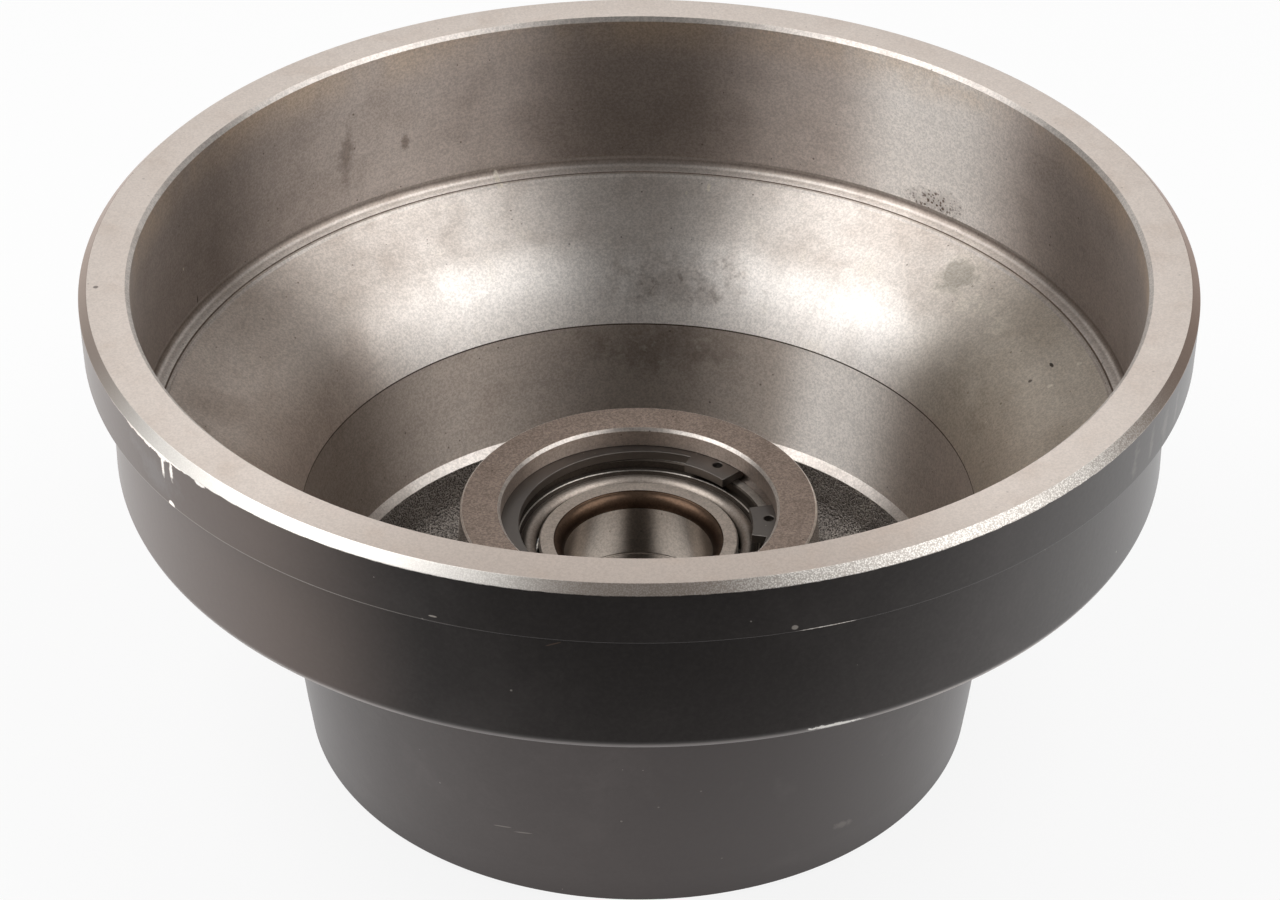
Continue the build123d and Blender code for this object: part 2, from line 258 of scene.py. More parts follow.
# %% Group helpers
def new_group(name, inputs, outputs):
    """A shader node group, with its inputs' and outputs' sockets."""
    group = bpy.data.node_groups.new(name, "ShaderNodeTree")
    for socket, kind, value in inputs:
        made = group.interface.new_socket(name=socket, in_out="INPUT", socket_type=kind)
        made.default_value = value
    for socket, kind in outputs:
        group.interface.new_socket(name=socket, in_out="OUTPUT", socket_type=kind)
    print("group", name, "takes", [row[0] for row in inputs], "and gives", [row[0] for row in outputs])
    return group, group.nodes.new("NodeGroupInput").outputs, group.nodes.new("NodeGroupOutput").inputs


def use(tree, group, **inputs):
    """Places a group in a tree with its values, and gives its outputs."""
    return add(tree, "ShaderNodeGroup", inputs, node_tree=group).outputs


def object_place(tree):
    """Where a point is on its object, which stays the same when the piece moves."""
    return add(tree, "ShaderNodeTexCoord").outputs["Object"]


def noise(tree, inputs, **settings):
    """A Noise texture's value."""
    return add(tree, "ShaderNodeTexNoise", inputs, **settings).outputs[0]


# %% [markdown]
# A lathe leaves its marks round the axis, so most effects here need to know how far out and how
# high a point is. The first group works out both, in millimetres, from Object coordinates.
# It also gives the direction round the axis as a circle, which has no seam where an angle wraps.
# Across is that circle's share to the right, from -1 to 1, and Away is its share to the back.

# %% Coordinates round the axis
def make_axis_group():
    outputs = [("Radius", FLOAT), ("Height", FLOAT), ("Circle", VECTOR), ("Across", FLOAT), ("Away", FLOAT)]
    group, _, out = new_group("round the axis", [], outputs)
    place = add(group, "ShaderNodeSeparateXYZ", {0: object_place(group)}).outputs
    flat = add(group, "ShaderNodeCombineXYZ", {0: place[0], 1: place[1]}).outputs[0]
    length = vector_sums(group, "LENGTH", flat, output="Value")
    circle = vector_sums(group, "NORMALIZE", flat)
    shares = add(group, "ShaderNodeSeparateXYZ", {0: circle}).outputs
    group.links.new(sums(group, "DIVIDE", length, MM), out["Radius"])
    group.links.new(sums(group, "DIVIDE", place[2], MM), out["Height"])
    group.links.new(circle, out["Circle"])
    group.links.new(shares[0], out["Across"])
    group.links.new(shares[1], out["Away"])
    return group


AXIS = make_axis_group()


# %% [markdown]
# Turning marks are fine lines round the axis, of uneven strength, broken up along their length.
# A noise that is stretched round the circle gives both. Along is the distance along the cut, such
# as the height on a cylinder or the radius on a face, and Pitch is the usual width of a line.
# Bands are the same marks many times as wide, where the tool wore or chattered.

# %% Turning marks
CIRCLE_STRETCH = (3.0, 3.0, 3.0)
BAND_WIDTH = 14.0


def make_turning_group():
    inputs = [("Along", FLOAT, 0.0), ("Pitch", FLOAT, 0.5)]
    group, given, out = new_group("turning marks", inputs, [("Lines", FLOAT), ("Bands", FLOAT)])
    circle = vector_sums(group, "MULTIPLY", use(group, AXIS)["Circle"], CIRCLE_STRETCH)
    across_cut = sums(group, "DIVIDE", given["Along"], given["Pitch"])
    lift = add(group, "ShaderNodeCombineXYZ", {2: across_cut}).outputs[0]
    settings = {"Scale": 1.0, "Detail": 2.0, "Roughness": 0.65}
    lines = noise(group, {"Vector": vector_sums(group, "ADD", circle, lift), **settings})
    wide = sums(group, "DIVIDE", across_cut, BAND_WIDTH)
    bands = noise(group, {"W": wide, **settings}, noise_dimensions="1D")
    group.links.new(ramp(group, lines, 0.3, 0.7), out["Lines"])
    group.links.new(ramp(group, bands, 0.3, 0.7), out["Bands"])
    return group


TURNING = make_turning_group()


# %% [markdown]
# Stains are soft blotches of oil, handling and old water. Their edges are part soft and part
# crisp, which one noise mapped between two limits gives. The same group at the scale of a grain
# gives the iron's own fine mottle.

# %% Stains
def make_stains_group():
    inputs = [("Size", FLOAT, 20.0), ("From", FLOAT, 0.4), ("To", FLOAT, 0.65), ("Seed", FLOAT, 0.0)]
    group, given, out = new_group("stains", inputs, [("Mask", FLOAT)])
    scale = sums(group, "DIVIDE", 1 / MM, given["Size"])
    values = {"Vector": object_place(group), "W": given["Seed"], "Scale": scale}
    settings = {"Detail": 6.0, "Roughness": 0.6, "Distortion": 0.4}
    blotches = noise(group, {**values, **settings}, noise_dimensions="4D")
    group.links.new(ramp(group, blotches, given["From"], given["To"]), out["Mask"])
    return group


STAINS = make_stains_group()


def stains(tree, size, low, high, seed=0.0):
    """A mask of stains of a size in millimetres, from where the noise is low to where it is high."""
    return use(tree, STAINS, Size=size, From=low, To=high, Seed=seed)["Mask"]


# %% [markdown]
# Cast skin is the face that sand leaves on iron that no tool has touched. Rounded cells give its
# grains, and a finer noise roughens them. Pits is the share of the surface that lies low.

# %% Cast skin
def make_cast_group():
    outputs = [("Relief", FLOAT), ("Pits", FLOAT)]
    group, given, out = new_group("cast skin", [("Size", FLOAT, 1.0)], outputs)
    scale = sums(group, "DIVIDE", 1 / MM, given["Size"])
    values = {"Vector": object_place(group), "Scale": scale}
    cell_inputs = {**values, "Smoothness": 0.7}
    cells = add(group, "ShaderNodeTexVoronoi", cell_inputs, feature="SMOOTH_F1").outputs["Distance"]
    fine = noise(group, {**values, "Detail": 5.0, "Roughness": 0.7})
    relief = sums(group, "MULTIPLY_ADD", fine, 0.8, cells)
    group.links.new(relief, out["Relief"])
    group.links.new(ramp(group, relief, 0.55, 1.05), out["Pits"])
    return group


CAST = make_cast_group()


# %% [markdown]
# Specks are dust, pits and tiny chips: one dot in each cell of a Voronoi texture. The cell's own
# random colour sets how large its dot is, and whether it is kept at all.

# %% Specks
def make_specks_group():
    inputs = [("Spacing", FLOAT, 6.0), ("Dot", FLOAT, 0.3), ("Share", FLOAT, 0.3)]
    group, given, out = new_group("specks", inputs, [("Mask", FLOAT)])
    scale = sums(group, "DIVIDE", 1 / MM, given["Spacing"])
    cells = add(group, "ShaderNodeTexVoronoi", {"Vector": object_place(group), "Scale": scale}).outputs
    chance = add(group, "ShaderNodeSeparateColor", {0: cells["Color"]}).outputs
    size = sums(group, "DIVIDE", given["Dot"], given["Spacing"])
    size = sums(group, "MULTIPLY", size, sums(group, "ADD", chance[1], 0.3))
    inside = sums(group, "LESS_THAN", cells["Distance"], size)
    kept = sums(group, "LESS_THAN", chance[0], given["Share"])
    group.links.new(sums(group, "MULTIPLY", inside, kept), out["Mask"])
    return group


SPECKS = make_specks_group()


def specks(tree, spacing, dot, share):
    """A mask of dots, with the usual distance between them, their size and the share kept."""
    return use(tree, SPECKS, Spacing=spacing, Dot=dot, Share=share)["Mask"]


# %% [markdown]
# A mark is one patch at a chosen place, such as a chip, a scratch or a spot of rust. The space
# round its centre is turned to face outwards, leaned over, and squeezed by the patch's reach in
# three directions: outwards, round the axis and up. There the patch is a ball, and a noise eats
# into its edge.

# %% Marks at chosen places
def make_mark_group():
    inputs = [
        ("Centre", VECTOR, (0.0, 0.0, 0.0)),
        ("Turn", FLOAT, 0.0),
        ("Lean", FLOAT, 0.0),
        ("Reach", VECTOR, (1.0, 1.0, 1.0)),
        ("Ragged", FLOAT, 0.5),
        ("Grain", FLOAT, 2.0),
        ("Soft", FLOAT, 0.25),
    ]
    group, given, out = new_group("mark", inputs, [("Mask", FLOAT)])
    place = object_place(group)
    moved = vector_sums(group, "SUBTRACT", place, given["Centre"])
    for kind, angle in (("Z_AXIS", given["Turn"]), ("X_AXIS", given["Lean"])):
        turn = {"Vector": moved, "Angle": angle}
        moved = add(group, "ShaderNodeVectorRotate", turn, rotation_type=kind).outputs[0]
    sized = vector_sums(group, "DIVIDE", moved, given["Reach"])
    far = sums(group, "DIVIDE", vector_sums(group, "LENGTH", sized, output="Value"), MM)
    scale = sums(group, "DIVIDE", 1 / MM, given["Grain"])
    uneven = noise(group, {"Vector": place, "Scale": scale, "Detail": 4.0, "Roughness": 0.7})
    eaten = sums(group, "MULTIPLY", sums(group, "SUBTRACT", uneven, 0.5), given["Ragged"])
    core = sums(group, "SUBTRACT", 1.0, given["Soft"])
    group.links.new(ramp(group, sums(group, "ADD", far, eaten), core, 1.1, 1.0, 0.0), out["Mask"])
    return group


MARK = make_mark_group()


def mark(tree, place, reach, ragged=0.5, grain=2.0, soft=0.25, lean=0.0):
    """A mark's mask. place is azimuth, radius and height; reach is outwards, round and up."""
    azimuth, radius, height = place
    angle = math.radians(azimuth)
    centre = (radius * math.cos(angle) * MM, radius * math.sin(angle) * MM, height * MM)
    values = {"Centre": centre, "Turn": -angle, "Lean": math.radians(lean), "Reach": reach}
    return use(tree, MARK, **values, Ragged=ragged, Grain=grain, Soft=soft)["Mask"]


# %% [markdown]
# A look holds a surface's colour, roughness and metal while effects are laid over it, one after
# another. When all are laid, the look goes into the material's shader with a relief.

# %% Lay effects over a look, and close the material
def new_material(name, colour, rough, metal):
    material = bpy.data.materials.new(name)
    material.use_nodes = True
    material.node_tree.nodes.clear()
    return material, material.node_tree, {"colour": colour, "rough": rough, "metal": metal}


def lay(tree, look, mask, colour, share=1.0, rough=None, metal=None):
    """Lays a mask's share of a colour over a look, and of a roughness and metal if given."""
    if share != 1.0:
        mask = sums(tree, "MULTIPLY", mask, share)
    look["colour"] = blend_colours(tree, mask, look["colour"], colour)
    for key, value in (("rough", rough), ("metal", metal)):
        if value is not None:
            look[key] = blend(tree, mask, look[key], value)


def patches(tree, look, *rows):
    """Lays marks, each a row of its colour, share, place, reach and other settings in order."""
    for colour, share, *settings in rows:
        lay(tree, look, mark(tree, *settings), colour, share)


def bump(tree, height, strength, depth, **under):
    """The normal of a relief with a depth in millimetres, over another normal if one is given."""
    inputs = {"Height": height, "Strength": strength, "Distance": depth * MM, **under}
    return add(tree, "ShaderNodeBump", inputs).outputs[0]


def close_material(material, look, normal, constants=None):
    """Gives a material its shader, from its look, its relief's normal and constant values."""
    inputs = {"Base Color": look["colour"], "Metallic": look["metal"], "Roughness": look["rough"]}
    tree = material.node_tree
    shader = add(tree, "ShaderNodeBsdfPrincipled", {**inputs, "Normal": normal, **(constants or {})})
    output = add(tree, "ShaderNodeOutputMaterial")
    tree.links.new(shader.outputs[0], output.inputs[0])
    print("finish", material.name, "has", len(tree.nodes), "nodes")
    return material


# %% [markdown]
# The iron that a lathe has cut is one family of finishes. They share their marks, stains and
# pits, and differ in colour, gloss and how stained they are. Fine grooves round the axis spread a
# highlight across themselves and leave it narrow along themselves, so the shader is anisotropic,
# with its tangent round the axis and turned a quarter.

# %% Turned iron
QUARTER = 0.25
GRAIN_SIZE = 0.55
MOTTLE_SIZE = 5.0
IRON = screen(222, 214, 207)
STAINED_IRON = screen(158, 142, 130)
PIT_COLOUR = screen(70, 58, 50)


def round_tangent(tree):
    """The direction round the axis, which a turned surface's fine grooves follow."""
    around = vector_sums(tree, "CROSS_PRODUCT", (0.0, 0.0, 1.0), use(tree, AXIS)["Circle"])
    turn = {"convert_from": "OBJECT", "convert_to": "WORLD", "vector_type": "VECTOR"}
    return add(tree, "ShaderNodeVectorTransform", {0: around}, **turn).outputs[0]


def cut_tone(tree, lines, bands, grain, line_tone, grain_tone):
    """How much the cut's lines, bands and grain darken the iron, as a grey."""
    tone = sums(tree, "MULTIPLY_ADD", lines, line_tone, 1.0 - line_tone / 2)
    tone = sums(tree, "MULTIPLY", tone, ramp(tree, bands, 0.0, 1.0, 0.98, 1.01))
    light, dark = 1.0 + grain_tone / 3, 1.0 - grain_tone
    return grey(tree, sums(tree, "MULTIPLY", tone, ramp(tree, grain, 0.0, 1.0, dark, light)))


def turned_iron(
    name,
    colour=IRON,
    stained=STAINED_IRON,
    roughness=0.43,
    stretch=0.95,
    along="Radius",
    pitch=0.6,
    stain_size=22.0,
    stain_share=0.32,
    pits=0.65,
    line_tone=0.04,
    line_depth=0.006,
    grain_tone=0.2,
    marks=None,
):
    """Machined iron with turning marks, stains and pits. marks lays more on its look: marks and painted
    light.
    """
    material, tree, look = new_material(name, colour, roughness, 1.0)
    turning = use(tree, TURNING, Along=use(tree, AXIS)[along], Pitch=pitch)
    grain = stains(tree, GRAIN_SIZE, 0.32, 0.68, seed=8.0)
    share = sums(tree, "MULTIPLY", stains(tree, stain_size, 0.44, 0.7), stain_share)
    mottle = stains(tree, MOTTLE_SIZE, 0.4, 0.75, seed=3.0)
    share = sums(tree, "MULTIPLY_ADD", mottle, stain_share * 0.3, share, clamp=True)
    look["colour"] = blend_colours(tree, share, colour, stained)
    look["rough"] = sums(tree, "MULTIPLY_ADD", share, 0.12, roughness)
    lay(tree, look, specks(tree, 2.8, 0.26, 0.32), PIT_COLOUR, pits)
    if marks:
        marks(tree, look)
    tone = cut_tone(tree, turning["Lines"], turning["Bands"], grain, line_tone, grain_tone)
    look["colour"] = blend_colours(tree, 1.0, look["colour"], tone, "MULTIPLY")
    lines = bump(tree, turning["Lines"], 0.4, line_depth)
    normal = bump(tree, grain, 0.3, 0.012, Normal=lines)
    constants = {"Anisotropic": stretch, "Anisotropic Rotation": QUARTER, "Tangent": round_tangent(tree)}
    return close_material(material, look, normal, constants)


# %% [markdown]
# The friction surface and the bowl carry marks of their own: a spatter of rust by the ridge, a
# brown spot, a smear, a tick, a pale patch where something dripped, and a round stain. Each is
# laid at its own place, so it stays there from every side. Wide stretches round the axis are
# painted darker or lighter, as painted shade and painted highlights, and ramps of Across lay those.

# %% Marks, painted shade and a painted highlight on the friction surface
RUST = screen(92, 70, 54)
DARK = screen(48, 40, 36)
PALE = screen(236, 228, 214)
WARM = screen(214, 190, 164)
SHADE_AND_STAIN = screen(128, 114, 104)
PAINTED_HIGHLIGHT = screen(250, 244, 238)


def friction_marks_and_painted_light(tree, look):
    axis = use(tree, AXIS)
    across = axis["Across"]
    # Painted shade darkens the left, the far right and the middle of Across; a painted highlight lightens
    # where Across is near 0.62.
    lay(tree, look, ramp(tree, across, -0.35, -0.95), SHADE_AND_STAIN, 0.5)
    lay(tree, look, ramp(tree, across, 0.75, 0.95), SHADE_AND_STAIN, 0.4)
    lay(tree, look, near(tree, across, 0.0, 0.3, 0.1), SHADE_AND_STAIN, 0.5)
    lay(tree, look, near(tree, across, 0.62, 0.22, 0.05), PAINTED_HIGHLIGHT, 0.9)
    spatter = mark(tree, (50.5, FRICTION_RADIUS, 95.2), (3.0, 12.0, 5.0), 1.6, soft=0.8, lean=8)
    lay(tree, look, spatter, RUST, 0.3)
    lay(tree, look, sums(tree, "MULTIPLY", spatter, specks(tree, 0.8, 0.4, 0.6)), RUST, 0.9)
    patches(
        tree,
        look,
        (RUST, 0.5, (120.6, FRICTION_RADIUS, 107.2), (3.0, 1.6, 3.4), 1.6, 2.0, 0.7),
        (SHADE_AND_STAIN, 0.6, (129.2, FRICTION_RADIUS, 109.0), (3.0, 3.2, 11.0), 2.4, 6.0, 0.9, -8),
        (DARK, 0.95, (157.4, FRICTION_RADIUS, 93.6), (3.0, 0.22, 1.5), 0.2),
        (PALE, 0.9, (160.4, FRICTION_RADIUS, 107.0), (3.0, 0.4, 0.5), 0.2),
    )
    by_mouth = sums(tree, "MULTIPLY", ramp(tree, axis["Height"], 122.0, RIM_HEIGHT), 0.8)
    haze = stains(tree, 30.0, 0.35, 0.65, seed=9.0)
    lay(tree, look, sums(tree, "MULTIPLY", by_mouth, haze), WARM, 0.8)


# %% Marks and painted light in the bowl
OILY = screen(128, 108, 94)
DRIED = screen(142, 136, 126)
YELLOW_TINT = screen(190, 176, 148)
BROWN_TINT = screen(184, 162, 144)
SHOULDER_HIGHLIGHT = screen(246, 241, 236)


def bowl_sides(tree, look):
    """A painted highlight on the bowl's shoulder, painted shade low down at its sides, and warmer tints at
    both sides.
    """
    axis = use(tree, AXIS)
    sideways = sums(tree, "ABSOLUTE", axis["Across"])
    inwards = ramp(tree, axis["Radius"], 106.0, 93.0)
    lay(tree, look, sums(tree, "MULTIPLY", inwards, ramp(tree, sideways, 0.86, 0.68)), SHOULDER_HIGHLIGHT, 0.75)
    low = ramp(tree, axis["Radius"], 104.0, 90.0)
    lay(tree, look, sums(tree, "MULTIPLY", low, ramp(tree, sideways, 0.74, 0.9)), SHADE_AND_STAIN, 0.4)
    lay(tree, look, ramp(tree, axis["Across"], 0.68, 0.95), YELLOW_TINT, 0.35)
    lay(tree, look, ramp(tree, axis["Across"], -0.5, -0.95), BROWN_TINT, 0.35)


def bowl_marks_and_painted_light(tree, look):
    bowl_sides(tree, look)
    oil = mark(tree, (84.0, 94.0, 72.0), (14.0, 24.0, 9.0), 2.4, 7.0, 0.9)
    lay(tree, look, oil, OILY, 0.4)
    lay(tree, look, sums(tree, "MULTIPLY", oil, stains(tree, 2.4, 0.53, 0.62, seed=14.0)), RUST, 0.35)
    lay(tree, look, stains(tree, 9.0, 0.58, 0.7, seed=11.0), PALE, 0.2, rough=0.48)
    lay(tree, look, stains(tree, 34.0, 0.5, 0.72, seed=2.0), STAINED_IRON, 0.22)
    spot = (41.0, 114.5, 85.5)
    lay(tree, look, mark(tree, spot, (8.5, 8.0, 9.0), 1.6, 4.0, 0.5), PALE, 0.3)
    lay(tree, look, mark(tree, spot, (6.4, 6.4, 8.0), 1.7, 4.0, 0.4), DRIED, 0.55, rough=0.48)
    for azimuth, radius in ((33.0, 112.5), (29.0, 110.0), (36.5, 109.5)):
        smear = mark(tree, (azimuth, radius, 83.6), (5.0, 4.0, 6.0), 2.4, 3.0, 0.8)
        lay(tree, look, smear, PALE, 0.35)
    patches(
        tree,
        look,
        (PALE, 0.9, (80.7, 119.5, 87.9), (1.8, 0.5, 2.0), 1.0),
        (PALE, 0.9, (83.6, 117.2, 86.9), (0.8, 0.4, 1.0), 0.8),
        (DARK, 0.9, (16.3, 113.1, 84.9), (0.5, 1.2, 1.0), 1.2),
        (DARK, 0.7, (15.5, 106.7, 82.1), (0.6, 0.6, 1.0), 1.0),
        (PALE, 0.9, (12.5, 110.1, 83.7), (0.8, 0.7, 1.0), 1.0),
        (PALE, 0.9, (13.8, 118.8, 87.8), (0.8, 0.7, 1.0), 1.0),
        (PALE, 0.9, (14.0, 93.6, 73.5), (0.8, 0.7, 1.0), 1.0),
    )


# %% Marks and painted light on the wall, the ridge and the rim
COVE_HEIGHT = 91.3
FRONT_RIM_SHADE = screen(184, 172, 163)
STAINED_RIM = screen(196, 176, 160)


def wall_marks_and_painted_light(tree, look):
    across = use(tree, AXIS)["Across"]
    # Painted shade darkens the wall's left side, and a painted highlight lightens it where Across is near
    # 0.64.
    lay(tree, look, ramp(tree, across, -0.6, -0.9), SHADE_AND_STAIN, 0.5)
    lay(tree, look, near(tree, across, 0.64, 0.24, 0.04), PAINTED_HIGHLIGHT, 0.8)
    damp = mark(tree, (86.0, 86.0, 55.0), (8.0, 25.0, 12.0), 2.2, 8.0, 0.9)
    lay(tree, look, damp, SHADE_AND_STAIN, 0.55)
    lay(tree, look, sums(tree, "MULTIPLY", damp, stains(tree, 5.0, 0.53, 0.62, seed=13.0)), PALE, 0.3)


def ridge_marks_and_painted_shade(tree, look):
    height = use(tree, AXIS)["Height"]
    # Painted shade: the ridge is darkened above 91 mm, and most of all round the cove, which dims the
    # cove's highlight.
    lay(tree, look, ramp(tree, height, 90.9, 92.2), SHADE_AND_STAIN, 0.45)
    lay(tree, look, near(tree, height, COVE_HEIGHT, 1.0, 0.4), SHADE_AND_STAIN, 0.75)
    lay(tree, look, mark(tree, (108.6, 123.5, 89.7), (6.0, 0.9, 3.0), 0.8), PALE, 0.7, rough=0.6)


def rim_marks_and_painted_shade(tree, look):
    # Painted shade: the front of the rim face is darker.
    lay(tree, look, ramp(tree, use(tree, AXIS)["Away"], -0.75, -1.0), FRONT_RIM_SHADE, 0.8)
    patches(
        tree,
        look,
        (DARK, 0.6, (-174.2, 135.2, RIM_HEIGHT), (0.7, 0.7, 2.0), 1.4),
        (PALE, 0.5, (-18.0, 129.5, RIM_HEIGHT), (3.0, 0.15, 2.0), 0.4),
    )
    lay(tree, look, stains(tree, 12.0, 0.5, 0.75, seed=4.0), STAINED_RIM, 0.25)


# %% [markdown]
# One call makes each finish of the turned iron. The rim face was ground flat and is nearly matte,
# the friction surface is honed, and the bowl and the wall below it are plainly turned.

# %% Finishes of the turned iron
FINISHES = {
    "rim face": turned_iron(
        "rim_face_iron",
        screen(224, 214, 206),
        screen(204, 191, 181),
        roughness=0.62,
        stretch=0.2,
        stain_share=0.3,
        pits=0.25,
        line_tone=0.01,
        line_depth=0.001,
        grain_tone=0.08,
        marks=rim_marks_and_painted_shade,
    ),
    "friction surface": turned_iron(
        "friction_surface_iron",
        screen(212, 200, 192),
        roughness=0.44,
        stretch=1.0,
        along="Height",
        marks=friction_marks_and_painted_light,
    ),
    "ridge": turned_iron("ridge_iron", roughness=0.36, stretch=0.9, marks=ridge_marks_and_painted_shade),
    "bowl": turned_iron("bowl_iron", roughness=0.41, pitch=0.8, marks=bowl_marks_and_painted_light),
    "wall": turned_iron(
        "wall_iron", screen(192, 180, 170), roughness=0.47, along="Height", marks=wall_marks_and_painted_light
    ),
    # The groove and the crease are given dark iron: painted shade in these narrow recesses.
    "groove": turned_iron("groove_painted_shade_iron", screen(124, 110, 100), SHADE_AND_STAIN, roughness=0.5, stretch=0.5),
    "crease": turned_iron("crease_painted_shade_iron", screen(96, 84, 76), PIT_COLOUR, roughness=0.5, stretch=0.5),
    "bright edge": turned_iron("bright_edge_iron", roughness=0.4, pitch=0.4, stain_share=0.3),
    "boss face": turned_iron(
        "boss_face_iron",
        screen(160, 144, 133),
        screen(126, 110, 99),
        roughness=0.6,
        stretch=0.2,
        stain_size=10.0,
        grain_tone=0.32,
    ),
    "boss bore": turned_iron(
        "boss_bore_iron",
        screen(190, 176, 166),
        roughness=0.4,
        along="Height",
        pitch=0.35,
        stain_size=14.0,
    ),
    "machined": turned_iron("machined_iron", roughness=0.45, stretch=0.8),
}


# %% [markdown]
# Outside, the drum is satin black paint over cast iron. The rim's chamfer was turned after the
# drum was painted, so it is bare, and the paint ends just below it in a line that is only ragged
# by the drips on the left. There the bare iron runs down in two drips and has chipped. The bare
# chamfer has painted shade in front and at both sides. Thin paint shows grey along the band's
# corner, with a painted highlight that grows lighter towards both sides. A painted highlight runs
# along the flange's lower edge on the left, and a painted warm sheen makes the left side warmer.

# %% Paint, what wore it, and painted light on it
PAINT_TOP = 134.5
DRIPS = -145.0
BARE_IRON = screen(240, 236, 230)
THIN_PAINT = screen(104, 98, 96)
SIDE_HIGHLIGHT_PAINT = screen(172, 164, 160)
SMUDGED_PAINT = screen(120, 118, 118)
LEFT_SHEEN = screen(150, 128, 116)
DUST_AND_EDGE_HIGHLIGHT = screen(165, 158, 150)


def left_warm_sheen(tree, look):
    """A painted warm sheen that makes the left side lighter and warmer."""
    lay(tree, look, ramp(tree, use(tree, AXIS)["Across"], -0.34, -0.66), LEFT_SHEEN, 0.3)


def bare_parts(tree, height):
    """A mask of where the flange has no paint: its chamfer, the drips, the chips and a scratch."""
    by_drips = mark(tree, (DRIPS, RIM_RADIUS, 135.0), (6.0, 16.0, 6.0), 1.0, 5.0, 0.6)
    raggedness = blend(tree, by_drips, 0.3, 1.6)
    line = sums(tree, "MULTIPLY_ADD", stains(tree, 3.0, 0.2, 0.8, seed=7.0), raggedness, height)
    bare = sums(tree, "GREATER_THAN", line, PAINT_TOP)
    for azimuth, up, reach, *settings in (
        (-143.0, 131.6, (4.0, 0.65, 4.2), 1.5, 1.0, 0.5, 2),
        (-141.5, 131.6, (4.0, 0.8, 3.2), 1.5, 1.0, 0.5, 2),
        (-143.0, 134.1, (4.0, 2.6, 1.2), 1.6, 1.6),
        (-136.6, 134.2, (4.0, 2.0, 0.8), 1.4, 1.6),
        (-142.0, FLANGE_FOOT + 0.6, (4.0, 1.3, 0.9), 1.0),
        (-72.0, FLANGE_FOOT + 0.2, (2.0, 7.5, 0.2), 0.5, 0.8),
    ):
        worn = mark(tree, (azimuth, RIM_RADIUS, up), reach, *settings)
        bare = sums(tree, "MAXIMUM", bare, worn)
    return bare


def chamfer_metal(tree, across):
    """The bare chamfer: coarse towards the right, with painted shade in front and at both sides, and darker
    and browner at its right end.
    """
    coarse = use(tree, CAST, Size=0.35)["Pits"]
    coarse = sums(tree, "MULTIPLY", coarse, ramp(tree, across, -0.45, 0.1, 0.1, 0.6))
    metal = blend_colours(tree, coarse, BARE_IRON, SHADE_AND_STAIN)
    # Painted shade: the bare chamfer is darkened in front and at both sides.
    chamfer_shade = sums(tree, "MAXIMUM", ramp(tree, across, -0.8, -0.97), ramp(tree, across, 0.74, 0.93))
    in_front = ramp(tree, sums(tree, "ABSOLUTE", across), 0.28, 0.06, 0.0, 0.8)
    chamfer_shade = sums(tree, "MULTIPLY", sums(tree, "MAXIMUM", chamfer_shade, in_front), 0.9)
    metal = blend_colours(tree, chamfer_shade, metal, SHADE_AND_STAIN)
    return blend_colours(tree, ramp(tree, across, 0.86, 0.99, 0.0, 0.6), metal, RUST)


def flange_marks_and_painted_light(tree, look):
    left_warm_sheen(tree, look)
    axis = use(tree, AXIS)
    across = axis["Across"]
    patches(
        tree, look, (SMUDGED_PAINT, 0.4, (DRIPS, RIM_RADIUS, 128.0), (4.0, 12.0, 7.0), 2.6, 7.0, 0.9, 20)
    )
    # A painted highlight: a light line along the flange's lower edge, on the left side.
    foot_highlight = near(tree, axis["Height"], FLANGE_FOOT + 0.1, 0.4, 0.15)
    lay(tree, look, sums(tree, "MULTIPLY", foot_highlight, ramp(tree, across, -0.2, -0.6)), DUST_AND_EDGE_HIGHLIGHT, 0.6)
    patches(
        tree,
        look,
        (DUST_AND_EDGE_HIGHLIGHT, 0.6, (-75.3, RIM_RADIUS, 122.3), (2.0, 0.8, 0.7), 0.8),
        (DUST_AND_EDGE_HIGHLIGHT, 0.9, (-109.5, RIM_RADIUS, 122.6), (2.0, 1.1, 0.25), 0.6),
        *(
            (DUST_AND_EDGE_HIGHLIGHT, 0.16, (azimuth, RIM_RADIUS, 127.0), (4.0, width, 5.5), 2.6, 3.0, 0.9, 4)
            for azimuth, width in ((-32.6, 1.9), (-29.0, 1.3), (-25.4, 2.4), (-21.6, 1.5))
        ),
    )
    bare = bare_parts(tree, axis["Height"])
    lay(tree, look, bare, chamfer_metal(tree, across), rough=0.4, metal=1.0)


# %% Marks and painted light on the band and the hub
SHADED_PAINT = screen(34, 28, 28)


def band_marks_and_painted_light(tree, look):
    left_warm_sheen(tree, look)
    axis = use(tree, AXIS)
    sideways = sums(tree, "ABSOLUTE", axis["Across"])
    # The band's corner is thin paint with a painted highlight, which grows lighter towards both sides.
    thin_paint_and_highlight = blend_colours(tree, ramp(tree, sideways, 0.3, 0.65), THIN_PAINT, SIDE_HIGHLIGHT_PAINT)
    corner = near(tree, axis["Height"], BAND_FOOT + 0.4, 1.2, 0.3)
    lay(tree, look, corner, thin_paint_and_highlight, 0.9, rough=0.55)
    chip_place = (-69.9, BAND_RADIUS - 0.8, BAND_FOOT + 0.8)
    lay(tree, look, mark(tree, chip_place, (3.0, 7.0, 0.6), 2.0, 1.4, lean=2), BARE_IRON, 0.9, rough=0.45)
    lay(tree, look, mark(tree, (-98.3, BAND_RADIUS, 115.2), (2.0, 2.0, 0.16), 0.6, lean=-22), RUST, 0.7)


